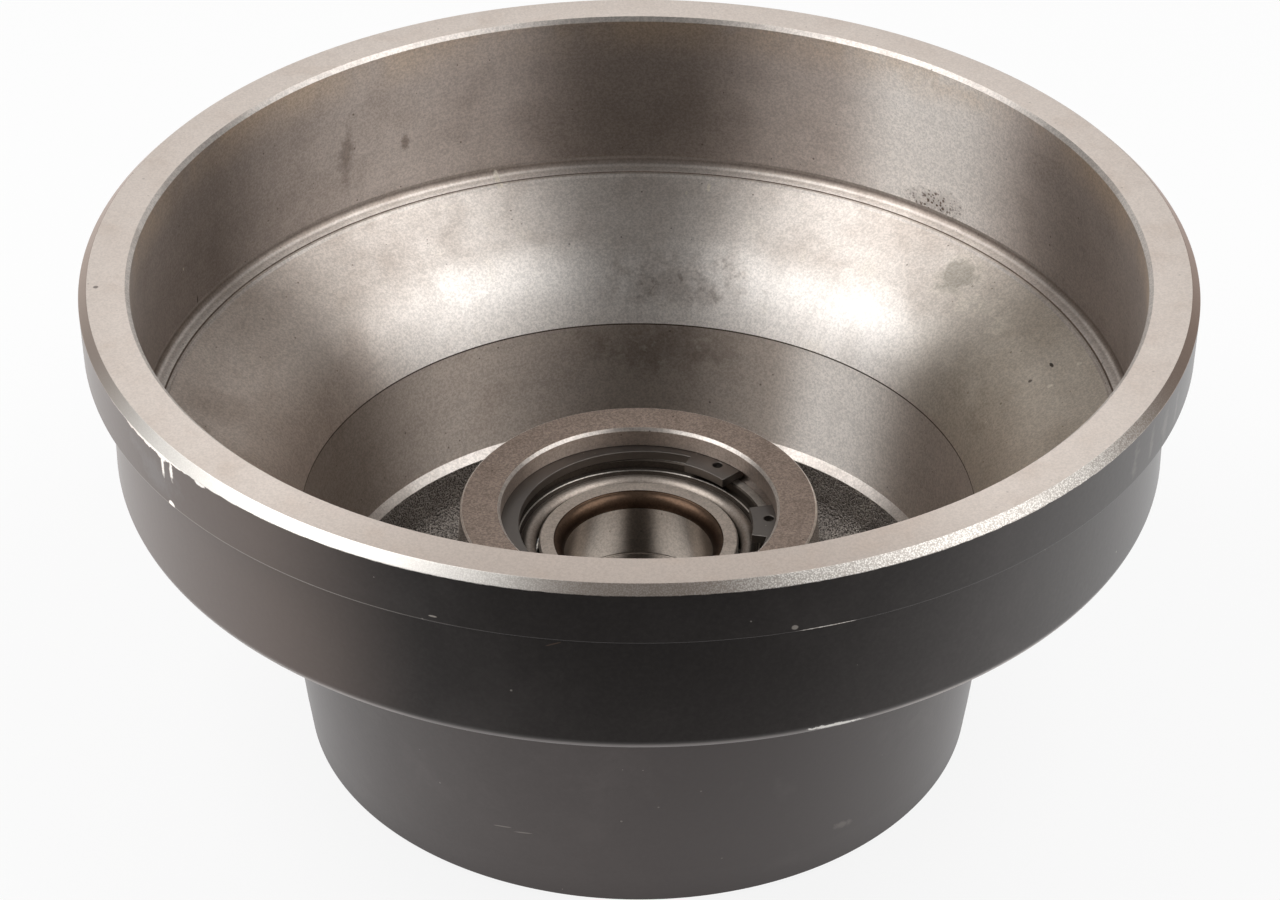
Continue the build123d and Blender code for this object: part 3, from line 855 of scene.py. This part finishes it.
def hub_marks_and_painted_shade(tree, look):
    # Painted shade: the hub is darker on its right side.
    lay(tree, look, ramp(tree, use(tree, AXIS)["Across"], -0.25, 0.45), SHADED_PAINT, 0.8)
    patches(
        tree,
        look,
        (DUST_AND_EDGE_HIGHLIGHT, 0.5, (-112.0, 90.0, 22.1), (3.0, 2.6, 0.2), 0.4, 2.0, 0.25, -8),
        (DUST_AND_EDGE_HIGHLIGHT, 0.5, (-108.5, 90.0, 21.6), (3.0, 2.6, 0.2), 0.4, 2.0, 0.25, -8),
        (DARK, 0.8, (-86.9, 91.4, 39.1), (3.0, 0.7, 0.7), 0.8),
        (DUST_AND_EDGE_HIGHLIGHT, 0.25, (-54.4, 88.8, 14.2), (3.0, 3.5, 1.4), 1.8, 2.0, 0.8, 10),
    )
    lay(tree, look, stains(tree, 26.0, 0.52, 0.75, seed=6.0), THIN_PAINT, 0.2)


# %% Painted finishes
WARM_GLOSS = (1.0, 0.92, 0.89, 1.0)


def painted(name, colour, roughness, marks):
    """Satin paint on cast iron, with a faint orange peel and dust."""
    material, tree, look = new_material(name, colour, roughness, 0.0)
    lay(tree, look, stains(tree, 30.0, 0.4, 0.75), THIN_PAINT, 0.12, rough=roughness + 0.1)
    lay(tree, look, specks(tree, 5.0, 0.24, 0.3), DUST_AND_EDGE_HIGHLIGHT, 0.45)
    lay(tree, look, stains(tree, 1.2, 0.35, 0.7, seed=12.0), THIN_PAINT, 0.05)
    marks(tree, look)
    peel = bump(tree, use(tree, CAST, Size=1.3)["Relief"], 0.35, 0.03)
    return close_material(material, look, peel, {"Specular Tint": WARM_GLOSS})


FINISHES["flange"] = painted("flange_paint", screen(17, 13, 12), 0.4, flange_marks_and_painted_light)
FINISHES["band"] = painted("band_paint", screen(19, 15, 14), 0.4, band_marks_and_painted_light)
FINISHES["hub paint"] = painted("hub_paint", screen(49, 42, 41), 0.45, hub_marks_and_painted_shade)


# %% [markdown]
# Inside, the floor round the boss and the boss's side are as cast: dark and sandy. The relief is
# deep enough for single grains to glint.

# %% Bare casting
CAST_GRAIN = 0.5
CAST_DEPTH = 0.35


def casting(name, colour, pit_colour, haze_colour):
    """Iron as it left the sand."""
    material, tree, look = new_material(name, colour, 0.42, 0.7)
    skin = use(tree, CAST, Size=CAST_GRAIN)
    look["colour"] = blend_colours(tree, skin["Pits"], colour, pit_colour)
    lay(tree, look, stains(tree, 12.0, 0.35, 0.7), haze_colour, 0.5, rough=0.55)
    return close_material(material, look, bump(tree, skin["Relief"], 1.0, CAST_DEPTH))


FINISHES["cast skin"] = casting(
    "cast_skin", screen(74, 68, 65), screen(180, 172, 164), screen(70, 63, 59)
)


# %% [markdown]
# The drum's outline starts at the wheel face, climbs the painted outside, crosses the rim and
# comes down the bright inside to the boss and its bore. It follows the solid's own corners, apart
# from what is finer than the solid holds: the small round edges, a groove on the ridge, and the
# crease where the bowl's curve meets the wall. For the crease, the curve lies up to about a
# millimetre off the solid's, so that it meets the wall at a corner.

# %% The drum's outline
SHARP = 0.15
WALL_FOOT = (82.0, 32.0)
WALL_TOP = (90.054, 74.22)
CREASE_HEIGHT = 61.8
CREASE_HALF = 0.2
CREASE_DEPTH = 0.12


def on_wall(height):
    """The wall's radius at a height."""
    share = (height - WALL_FOOT[1]) / (WALL_TOP[1] - WALL_FOOT[1])
    return WALL_FOOT[0] + share * (WALL_TOP[0] - WALL_FOOT[0])


OUTSIDE = [
    (85.0, 0.0, SHARP, "hub paint"),
    (87.263, 2.0, SHARP, "hub paint"),
    (88.488, 11.3, 0.8, "hub paint"),
    (94.975, 68.239, 16.2, "band"),
    (BAND_RADIUS, BAND_FOOT, 3.5, "band"),
    (BAND_RADIUS, FLANGE_FOOT, 1.5, "flange"),
    (139.3, FLANGE_FOOT, 0.3, "flange"),
    (RIM_RADIUS, 134.45, SHARP, "flange"),
    (137.65, RIM_HEIGHT, SHARP, "rim face"),
]
INSIDE = [
    (128.1, RIM_HEIGHT, SHARP, "bright edge"),
    (FRICTION_RADIUS, 135.4, SHARP, "friction surface"),
    (FRICTION_RADIUS, 92.8, 0.0, "ridge"),
    (FRICTION_RADIUS, 90.6, 2.4, "ridge"),
    (123.4, 89.82, 0.0, "groove"),
    (123.15, 89.4, 0.0, "groove"),
    (122.9, 89.8, 0.05, "ridge"),
    (122.2, 89.688, 0.15, "ridge"),
    (121.75, 89.0, 0.1, "bowl"),
    (94.01, 76.07, 33.0, "bowl"),
    (on_wall(CREASE_HEIGHT + CREASE_HALF), CREASE_HEIGHT + CREASE_HALF, 0.0, "crease"),
    (on_wall(CREASE_HEIGHT) + CREASE_DEPTH, CREASE_HEIGHT, 0.0, "crease"),
    (on_wall(CREASE_HEIGHT - CREASE_HALF), CREASE_HEIGHT - CREASE_HALF, 0.0, "wall"),
    (*WALL_FOOT, SHARP, "bright edge"),
    (80.0, 30.0, 0.3, "cast skin"),
    (78.757, FLOOR_THICKNESS, 8.0, "cast skin"),
    (49.773, FLOOR_THICKNESS, 3.0, "cast skin"),
    (BOSS_RADIUS, 61.0, SHARP, "bright edge"),
    (46.0, BOSS_HEIGHT, SHARP, "boss face"),
]

# %% The bore's outline, and the drum's shape
DRUM_STEPS = 360
BORE = [
    (36.8, BOSS_HEIGHT, SHARP, "bright edge"),
    (BEARING_RADIUS, 60.7, SHARP, "boss bore"),
    (BEARING_RADIUS, 56.15, 0.1, "boss bore"),
    (37.5, 56.15, 0.0, "boss bore"),
    (37.5, 53.45, 0.0, "boss bore"),
    (BEARING_RADIUS, 53.45, 0.0, "boss bore"),
    (BEARING_RADIUS, 11.55, 0.0, "machined"),
    (30.0, 11.55, SHARP, "machined"),
    (30.0, 7.5, SHARP, "machined"),
    (32.5, 7.5, 0.0, "machined"),
    (32.5, 0.8, SHARP, "machined"),
    (33.3, 0.0, SHARP, "machined"),
]
drum_shape, drum_finishes = turned(OUTSIDE + INSIDE + BORE, DRUM_STEPS)
print("the outline has", len(OUTSIDE + INSIDE + BORE), "corners and", len(drum_finishes), "finishes")


# %% [markdown]
# Five threaded holes in the wheel face take the wheel bolts. A cutter the shape of one hole is
# spun into five, and a Boolean takes them out of the drum. The thread is too fine to model: it is
# a wave of the hole's height in its material's bump.

# %% The thread's finish, and the cutters
BOLT_COUNT = 5
BOLT_CIRCLE = 59.0
HOLE_RADIUS = 6.2
HOLE_CHAMFER = 1.0
FIRST_BOLT = 90.0
THREAD_PITCH = 1.5
HOLE_STEPS = 48
OVERSHOOT = 4.0


def thread_material():
    material, tree, look = new_material("bolt_thread_iron", screen(150, 140, 132), 0.4, 1.0)
    wave = sums(tree, "PINGPONG", use(tree, AXIS)["Height"], THREAD_PITCH / 2)
    lay(tree, look, stains(tree, 4.0, 0.4, 0.7), PIT_COLOUR, 0.5, rough=0.6)
    return close_material(material, look, bump(tree, wave, 0.8, THREAD_PITCH))


def bolt_cutters():
    """Five closed cutters on the bolt circle, each a little longer than the hole."""
    mouth, top = HOLE_RADIUS + HOLE_CHAMFER, FLOOR_THICKNESS + OVERSHOOT
    outline = [(0.0, -OVERSHOOT), (mouth, -OVERSHOOT), (mouth, 0.0), (HOLE_RADIUS, HOLE_CHAMFER)]
    outline += [(HOLE_RADIUS, top), (0.0, top)]
    shape = bmesh.new()
    points = [((BOLT_CIRCLE + x) * MM, 0, z * MM) for x, z in outline]
    full_turn(shape, points, (BOLT_CIRCLE * MM, 0, 0), HOLE_STEPS)
    close_up(shape)
    start = Matrix.Rotation(math.radians(FIRST_BOLT), 3, "Z")
    bmesh.ops.rotate(shape, verts=shape.verts, cent=(0, 0, 0), matrix=start)
    copies = {"steps": BOLT_COUNT - 1, "angle": math.tau * (BOLT_COUNT - 1) / BOLT_COUNT}
    everything = list(shape.verts) + list(shape.edges) + list(shape.faces)
    bmesh.ops.spin(
        shape, geom=everything, cent=(0, 0, 0), axis=(0, 0, 1), use_duplicate=True, **copies
    )
    return shape


# %% The drum with its bolt holes
def cut_bolt_holes(piece):
    """Takes the five holes out of the drum's mesh, and gives their walls the thread's finish."""
    cutter = object_from("bolt_cutters", bolt_cutters(), [thread_material()])
    cut = piece.modifiers.new("bolt holes", "BOOLEAN")
    cut.operation = "DIFFERENCE"
    cut.solver = "EXACT"
    cut.material_mode = "TRANSFER"
    cut.object = cutter
    piece.modifiers.move(len(piece.modifiers) - 1, 0)
    bpy.context.view_layer.objects.active = piece
    bpy.ops.object.modifier_apply(modifier=cut.name)
    mesh = cutter.data
    bpy.data.objects.remove(cutter)
    bpy.data.meshes.remove(mesh)
    print("with its bolt holes the drum has", len(piece.data.polygons), "faces")


drum_materials = [FINISHES[finish] for finish in drum_finishes]
drum = piece_from("drum_dressed", drum_shape, drum_materials, "drum", "cast_iron_drum", "brake_drum")
cut_bolt_holes(drum)


# %% [markdown]
# The wheel bearing's rings are hard steel. Their races and seats are ground, their flat faces are
# ground finer, and the rounded entry of the bore is dark bronze in colour. They use the turned
# finish again, brighter, with few stains.

# %% Finishes of the bearing
FINISHES["bearing steel"] = turned_iron(
    "bearing_steel",
    screen(206, 200, 192),
    roughness=0.34,
    pitch=0.3,
    stain_size=8.0,
    stain_share=0.25,
    pits=0.2,
)
FINISHES["seal seat"] = turned_iron(
    "seal_seat_steel",
    screen(84, 77, 71),
    screen(58, 52, 48),
    roughness=0.45,
    stretch=0.6,
    along="Height",
    pitch=0.3,
)
FINISHES["ring face"] = turned_iron(
    "ring_face_steel",
    screen(196, 184, 173),
    roughness=0.45,
    stretch=0.3,
    pitch=0.3,
    stain_size=6.0,
    stain_share=0.25,
    pits=0.2,
)
FINISHES["ground bore"] = turned_iron(
    "ground_bore_steel",
    screen(190, 180, 170),
    roughness=0.3,
    stretch=0.9,
    along="Height",
    pitch=0.25,
    stain_share=0.2,
)
FINISHES["bronze entry"] = turned_iron(
    "bronze_entry_steel",
    screen(88, 70, 57),
    screen(58, 46, 38),
    roughness=0.34,
    stretch=0.6,
    pitch=0.3,
    stain_size=5.0,
)
FINISHES["seal steel"] = turned_iron(
    "seal_steel",
    screen(160, 150, 141),
    roughness=0.42,
    stretch=0.5,
    pitch=0.3,
    stain_size=9.0,
    stain_share=0.3,
)


# %% [markdown]
# A race is an arc of the ring's section, and the bore's entry is a quarter of an ellipse. Both
# are worked out from their centre and size, and join the outline as corners with no rounding.

# %% Arcs in an outline
PITCH_CIRCLE = 28.2
ROW_OFFSET = 8.5
RACE_RADIUS = 6.033
ARC_STEP = 6


def arc(centre, size, start, end, finish_name):
    """Corners along an arc, or a part of an ellipse, about every six degrees."""
    steps = max(LEAST_ARC_STEPS, round(abs(end - start) / ARC_STEP))
    corners = []
    for step in range(steps + 1):
        angle = math.radians(start + (end - start) * step / steps)
        radius = centre[0] + size[0] * math.cos(angle)
        height = centre[1] + size[1] * math.sin(angle)
        corners.append((radius, height, 0.0, finish_name))
    return corners


def race_angle(radius):
    """Where a race's arc reaches a radius, in degrees from straight out."""
    return math.degrees(math.acos((radius - PITCH_CIRCLE) / RACE_RADIUS))


def race_arc(start, end):
    return arc((PITCH_CIRCLE, ROW_OFFSET), (RACE_RADIUS, RACE_RADIUS), start, end, "bearing steel")


def at_height(corners, side):
    """An outline drawn about the bearing's middle, moved to its place on one side of it."""
    return [(radius, BEARING_MIDDLE + side * height, *rest) for radius, height, *rest in corners]


# %% [markdown]
# The outer ring is pressed into the boss. It has a land between two races, and a seat for a seal
# at each end. Half of its outline is drawn, and the other half is its mirror image.

# %% Outer ring
RING_STEPS = 180
OUTER_HALF = 21.0
OUTER_LAND = 31.0
SEAL_SEAT = 33.0
SEAT_FOOT = 13.0
RING_EDGE = 0.4


def outer_ring_half():
    seat_angle = math.degrees(math.asin((SEAT_FOOT - ROW_OFFSET) / RACE_RADIUS))
    return [
        *race_arc(-race_angle(OUTER_LAND), seat_angle),
        (SEAL_SEAT, SEAT_FOOT, 0.0, "seal seat"),
        (SEAL_SEAT, OUTER_HALF - RING_EDGE, 0.1, "seal seat"),
        (SEAL_SEAT + RING_EDGE, OUTER_HALF, 0.1, "bearing steel"),
        (BEARING_RADIUS - RING_EDGE, OUTER_HALF, 0.1, "bearing steel"),
        (BEARING_RADIUS, OUTER_HALF - RING_EDGE, 0.0, "bearing steel"),
    ]


def dressed(name, corners, body, slot, node):
    """A small ring turned from its outline."""
    shape, names = turned(corners, RING_STEPS)
    return piece_from(name, shape, [FINISHES[finish] for finish in names], body, slot, node)


upper = at_height(outer_ring_half(), 1)
lower = at_height(outer_ring_half(), -1)
dressed("outer_ring_dressed", upper + lower[::-1], "drum", "bearing_steel", "bearing_outer_ring")


# %% [markdown]
# Two inner rings sit back to back on the spindle. Each has a race, a high land beside it, a flat
# face, a fine step round the bore and a rounded entry.

# %% Inner rings
BORE_RADIUS = 19.5
SEAM_LAND = 24.2
INNER_LAND = 26.1
INNER_HALF = 18.5
ENTRY_STEP = 22.2
ENTRY_FOOT = 14.5
STEP_DEPTH = 0.35


def inner_ring():
    entry_size = (ENTRY_STEP - BORE_RADIUS, INNER_HALF - STEP_DEPTH - ENTRY_FOOT)
    return [
        (BORE_RADIUS, RING_EDGE, 0.0, "ground bore"),
        *arc((ENTRY_STEP, ENTRY_FOOT), entry_size, 180, 90, "bronze entry"),
        (ENTRY_STEP, INNER_HALF, 0.05, "ring face"),
        (INNER_LAND - RING_EDGE, INNER_HALF, 0.1, "bearing steel"),
        (INNER_LAND, INNER_HALF - RING_EDGE, 0.1, "bearing steel"),
        *race_arc(race_angle(INNER_LAND), 360 - race_angle(SEAM_LAND)),
        (SEAM_LAND, 0.0, 0.0, "bearing steel"),
        (BORE_RADIUS + RING_EDGE, 0.0, 0.0, "ground bore"),
    ]


# %% [markdown]
# A seal closes each end: a pressed steel plate with a rim in the outer ring, a narrow recess, a
# crown, and a small gap to the inner ring so that it never rubs.

# %% Seals, and both ends of the bearing
SEAL_BRINK = 26.9
SEAL_LIP = 31.5
SEAL_RIM = 31.85
SEAL_SLOPE = 0.5
SEAL_VALLEY = (31.0, 17.1)
SEAL_CROWN = 1.3
SEAL_FOOT = 14.8
SEAL_BACK = 16.1


def seal():
    half_span = (SEAL_VALLEY[0] - SEAL_BRINK) / 2
    bend = (half_span**2 + SEAL_CROWN**2) / (2 * SEAL_CROWN)
    centre = (SEAL_BRINK + half_span, SEAL_VALLEY[1] + SEAL_CROWN - bend)
    reach = math.degrees(math.asin(half_span / bend))
    return [
        (SEAL_BRINK, SEAL_BACK, 0.1, "seal steel"),
        (SEAL_LIP, SEAL_BACK, 0.1, "seal steel"),
        (SEAL_LIP + SEAL_SLOPE, SEAL_FOOT, 0.1, "seal steel"),
        (SEAL_SEAT, SEAL_FOOT, 0.1, "seal seat"),
        (SEAL_SEAT, INNER_HALF, 0.15, "seal seat"),
        (SEAL_RIM, INNER_HALF, 0.0, "bearing steel"),
        (SEAL_LIP, INNER_HALF, 0.15, "seal seat"),
        *arc(centre, (bend, bend), 90 - reach, 90 + reach, "seal steel"),
    ]


for end, side in (("inboard", 1), ("outboard", -1)):
    ring_name, seal_name = "inner_ring_" + end, "seal_" + end
    ring_corners, seal_corners = at_height(inner_ring(), side), at_height(seal(), side)
    dressed(ring_name + "_dressed", ring_corners, "inner_rings", "bearing_steel", ring_name)
    dressed(seal_name + "_dressed", seal_corners, "drum", "seal_steel", seal_name)


# %% [markdown]
# The circlip is stamped from spring steel and blackened. Its outline, with two eared ends, is the
# solid's, so this piece starts as a copy of the solid's mesh. Loose triangles are merged, flat
# faces become single faces, and a small bevel rounds the stamped edges.

# %% Circlip
CIRCLIP_EDGE = 0.18
CIRCLIP_MERGE = 0.001 * MM
FLAT_TURN = math.radians(1.0)
SHARP_TURN = math.radians(35.0)


def circlip_material():
    material, tree, look = new_material("circlip_black_steel", screen(110, 105, 101), 0.4, 1.0)
    lay(tree, look, stains(tree, 5.0, 0.45, 0.7), screen(124, 118, 113), 0.5, rough=0.5)
    lay(tree, look, specks(tree, 3.0, 0.2, 0.2), DUST_AND_EDGE_HIGHLIGHT, 0.6)
    return close_material(material, look, bump(tree, use(tree, CAST, Size=0.5)["Relief"], 0.3, 0.03))


def is_sharp(edge):
    return len(edge.link_faces) == 2 and edge.calc_face_angle() > SHARP_TURN


def circlip_shape():
    shape = bmesh.new()
    shape.from_mesh(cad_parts["circlip"].data)
    bmesh.ops.remove_doubles(shape, verts=shape.verts, dist=CIRCLIP_MERGE)
    bmesh.ops.dissolve_limit(shape, angle_limit=FLAT_TURN, verts=shape.verts, edges=shape.edges)
    bmesh.ops.bevel(
        shape,
        geom=[edge for edge in shape.edges if is_sharp(edge)],
        offset=CIRCLIP_EDGE * MM,
        segments=2,
        profile=0.5,
        affect="EDGES",
        material=-1,
        clamp_overlap=True,
    )
    return shape


piece_from("circlip_dressed", circlip_shape(), [circlip_material()], "drum", "spring_steel", "circlip")


# %% [markdown]
# The balls and their cages keep the solids' own meshes, which have the right shape. They only
# need their finish: polished steel, and a moulded polymer with a faint grain.

# %% Balls and cages
def plain_material(name, colour, mottled, metal, roughness, grain):
    material, tree, look = new_material(name, colour, roughness, metal)
    lay(tree, look, stains(tree, grain * 6, 0.4, 0.7), mottled, 0.5, rough=roughness + 0.08)
    return close_material(material, look, bump(tree, use(tree, CAST, Size=grain)["Relief"], 0.2, 0.02))


INSIDE_BEARING = {
    "ball": plain_material("ball_steel", screen(205, 203, 200), screen(185, 180, 174), 1.0, 0.12, 0.8),
    "cage": plain_material("cage_polymer", screen(92, 82, 60), screen(78, 68, 50), 0.0, 0.45, 0.6),
}
for kind, material in INSIDE_BEARING.items():
    nodes = [node for name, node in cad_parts.items() if name.startswith(kind)]
    for node in nodes:
        node.data.materials.clear()
        node.data.materials.append(material)
    print(len(nodes), "pieces of the kind", kind, "have their finish")


# %% [markdown]
# Light comes from two large soft boxes, left and right, with a darker gap between them overhead.
# Turned iron shows that gap as the dark stripe at the back of the bowl. The room is white at the
# horizon, pale behind the drum and dim above and in front of it, which keeps the paint black.

# %% Lamps
SOFT_BOX_SIZE = (1.0, 1.0)
SOFT_BOX_PLACE = (0.735, -0.08, 1.13)
AIM_HEIGHT = 0.12


def soft_box(name, side, power):
    lamp = bpy.data.lights.new(name, "AREA")
    lamp.shape = "RECTANGLE"
    lamp.size, lamp.size_y = SOFT_BOX_SIZE
    lamp.energy = power
    box = bpy.data.objects.new(name, lamp)
    across, along, up = SOFT_BOX_PLACE
    box.location = (side * across, along, up)
    aim = Vector((0, along, AIM_HEIGHT)) - box.location
    box.rotation_euler = aim.to_track_quat("-Z", "Y").to_euler()
    bpy.context.scene.collection.objects.link(box)
    print(name, "stands at", tuple(round(value, 3) for value in box.location))


soft_box("soft_box_left", -1, 10.5)
soft_box("soft_box_right", 1, 8.8)

# %% The room
DIM, PALE_WALL, WHITE = 0.22, 0.8, 1.0
HORIZON = (0.03, 0.16)
BEHIND = (0.3, 0.8)


def room():
    world = bpy.data.worlds.new("studio")
    bpy.context.scene.world = world
    world.use_nodes = True
    tree = world.node_tree
    tree.nodes.clear()
    direction = add(tree, "ShaderNodeTexCoord").outputs["Generated"]
    split = add(tree, "ShaderNodeSeparateXYZ", {0: direction}).outputs
    wall = ramp(tree, split[1], *BEHIND, DIM, PALE_WALL)
    level = blend(tree, ramp(tree, split[2], *HORIZON, 1.0, 0.0), wall, WHITE)
    background = add(tree, "ShaderNodeBackground", {"Color": grey(tree, level), "Strength": 1.0})
    output = add(tree, "ShaderNodeOutputWorld")
    tree.links.new(background.outputs[0], output.inputs[0])
    print("the room is between", DIM, "and", WHITE)


room()


# %% [markdown]
# The floor is white where the camera or a shiny surface sees it, and keeps a soft shadow. What a
# shiny surface sees of it is dimmer in front of the drum and close under it, as if the dark parts
# of the studio were there, and that keeps the front of the paint black and its sides light. Under
# the bore it glows brighter than white on both sides of a dark middle strip: painted light for
# the bore's wall to reflect.

# %% The floor's light
GLOW_SHARE = 0.88
MATTE_WHITE = (0.85, 0.85, 0.85, 1.0)
DIM_FRONT = (-0.3, -0.08, 0.02, 1.7)
UNDER_DRUM = (0.06, 0.1)
BORE_EDGE = (0.035, 0.03)
UNDER_BORE = (0.01, 0.021, 0.0, 1.8)


def mirrored_level(tree):
    """How bright a shiny surface sees the floor at each place."""
    place = object_place(tree)
    split = add(tree, "ShaderNodeSeparateXYZ", {0: place}).outputs
    away = vector_sums(tree, "LENGTH", place, output="Value")
    outside = sums(tree, "MULTIPLY", ramp(tree, split[1], *DIM_FRONT), ramp(tree, away, *UNDER_DRUM))
    # Painted light: under the bore, both sides of a middle strip glow up to 1.8 times white for shiny
    # surfaces.
    sideways = ramp(tree, sums(tree, "ABSOLUTE", split[0]), *UNDER_BORE)
    under_bore = sums(tree, "MULTIPLY", ramp(tree, away, *BORE_EDGE), sideways)
    return sums(tree, "ADD", outside, under_bore)


def floor_material():
    material = bpy.data.materials.new("floor_white")
    material.use_nodes = True
    tree = material.node_tree
    tree.nodes.clear()
    path = add(tree, "ShaderNodeLightPath").outputs
    seen = sums(tree, "MAXIMUM", path["Is Camera Ray"], path["Is Glossy Ray"])
    seen = sums(tree, "MAXIMUM", seen, path["Is Transmission Ray"])
    matte = add(tree, "ShaderNodeBsdfDiffuse", {"Color": MATTE_WHITE}).outputs[0]
    level = blend(tree, path["Is Glossy Ray"], 1.0, mirrored_level(tree))
    glow = add(tree, "ShaderNodeEmission", {"Color": (1, 1, 1, 1), "Strength": level}).outputs[0]
    share = sums(tree, "MULTIPLY", seen, GLOW_SHARE)
    mixed = add(tree, "ShaderNodeMixShader", {0: share, 1: matte, 2: glow})
    output = add(tree, "ShaderNodeOutputMaterial")
    tree.links.new(mixed.outputs[0], output.inputs[0])
    return material


# %% Floor
FLOOR_HALF = 6.0
FLOOR_DROP = 0.2

ground_shape = bmesh.new()
bmesh.ops.create_grid(ground_shape, x_segments=1, y_segments=1, size=FLOOR_HALF)
bmesh.ops.translate(ground_shape, verts=ground_shape.verts, vec=(0, 0, -FLOOR_DROP * MM))
ground = object_from("floor", ground_shape, [floor_material()])
print("the floor is", 2 * FLOOR_HALF, "m across")

# %% [markdown]
# The camera stands where the one that took the photograph stood: in front, about 38 degrees up,
# with a long lens.

# %% Camera
CAMERA_PLACE = (0.0003, -0.8971, 0.6880)
CAMERA_TILT = 55.831
CAMERA_ROLL = 0.178
CAMERA_LENS = 118.3
SENSOR_WIDTH = 36.0

camera_data = bpy.data.cameras.new("camera")
camera_data.lens = CAMERA_LENS
camera_data.sensor_width = SENSOR_WIDTH
camera = bpy.data.objects.new("camera", camera_data)
tilt = Matrix.Rotation(math.radians(CAMERA_TILT), 3, "X")
roll = Matrix.Rotation(math.radians(CAMERA_ROLL), 3, "Z")
camera.rotation_euler = (tilt @ roll).to_euler()
camera.location = CAMERA_PLACE
bpy.context.scene.collection.objects.link(camera)
bpy.context.scene.camera = camera
bpy.context.scene.view_settings.view_transform = "Standard"
print("the camera's lens is", CAMERA_LENS, "mm")
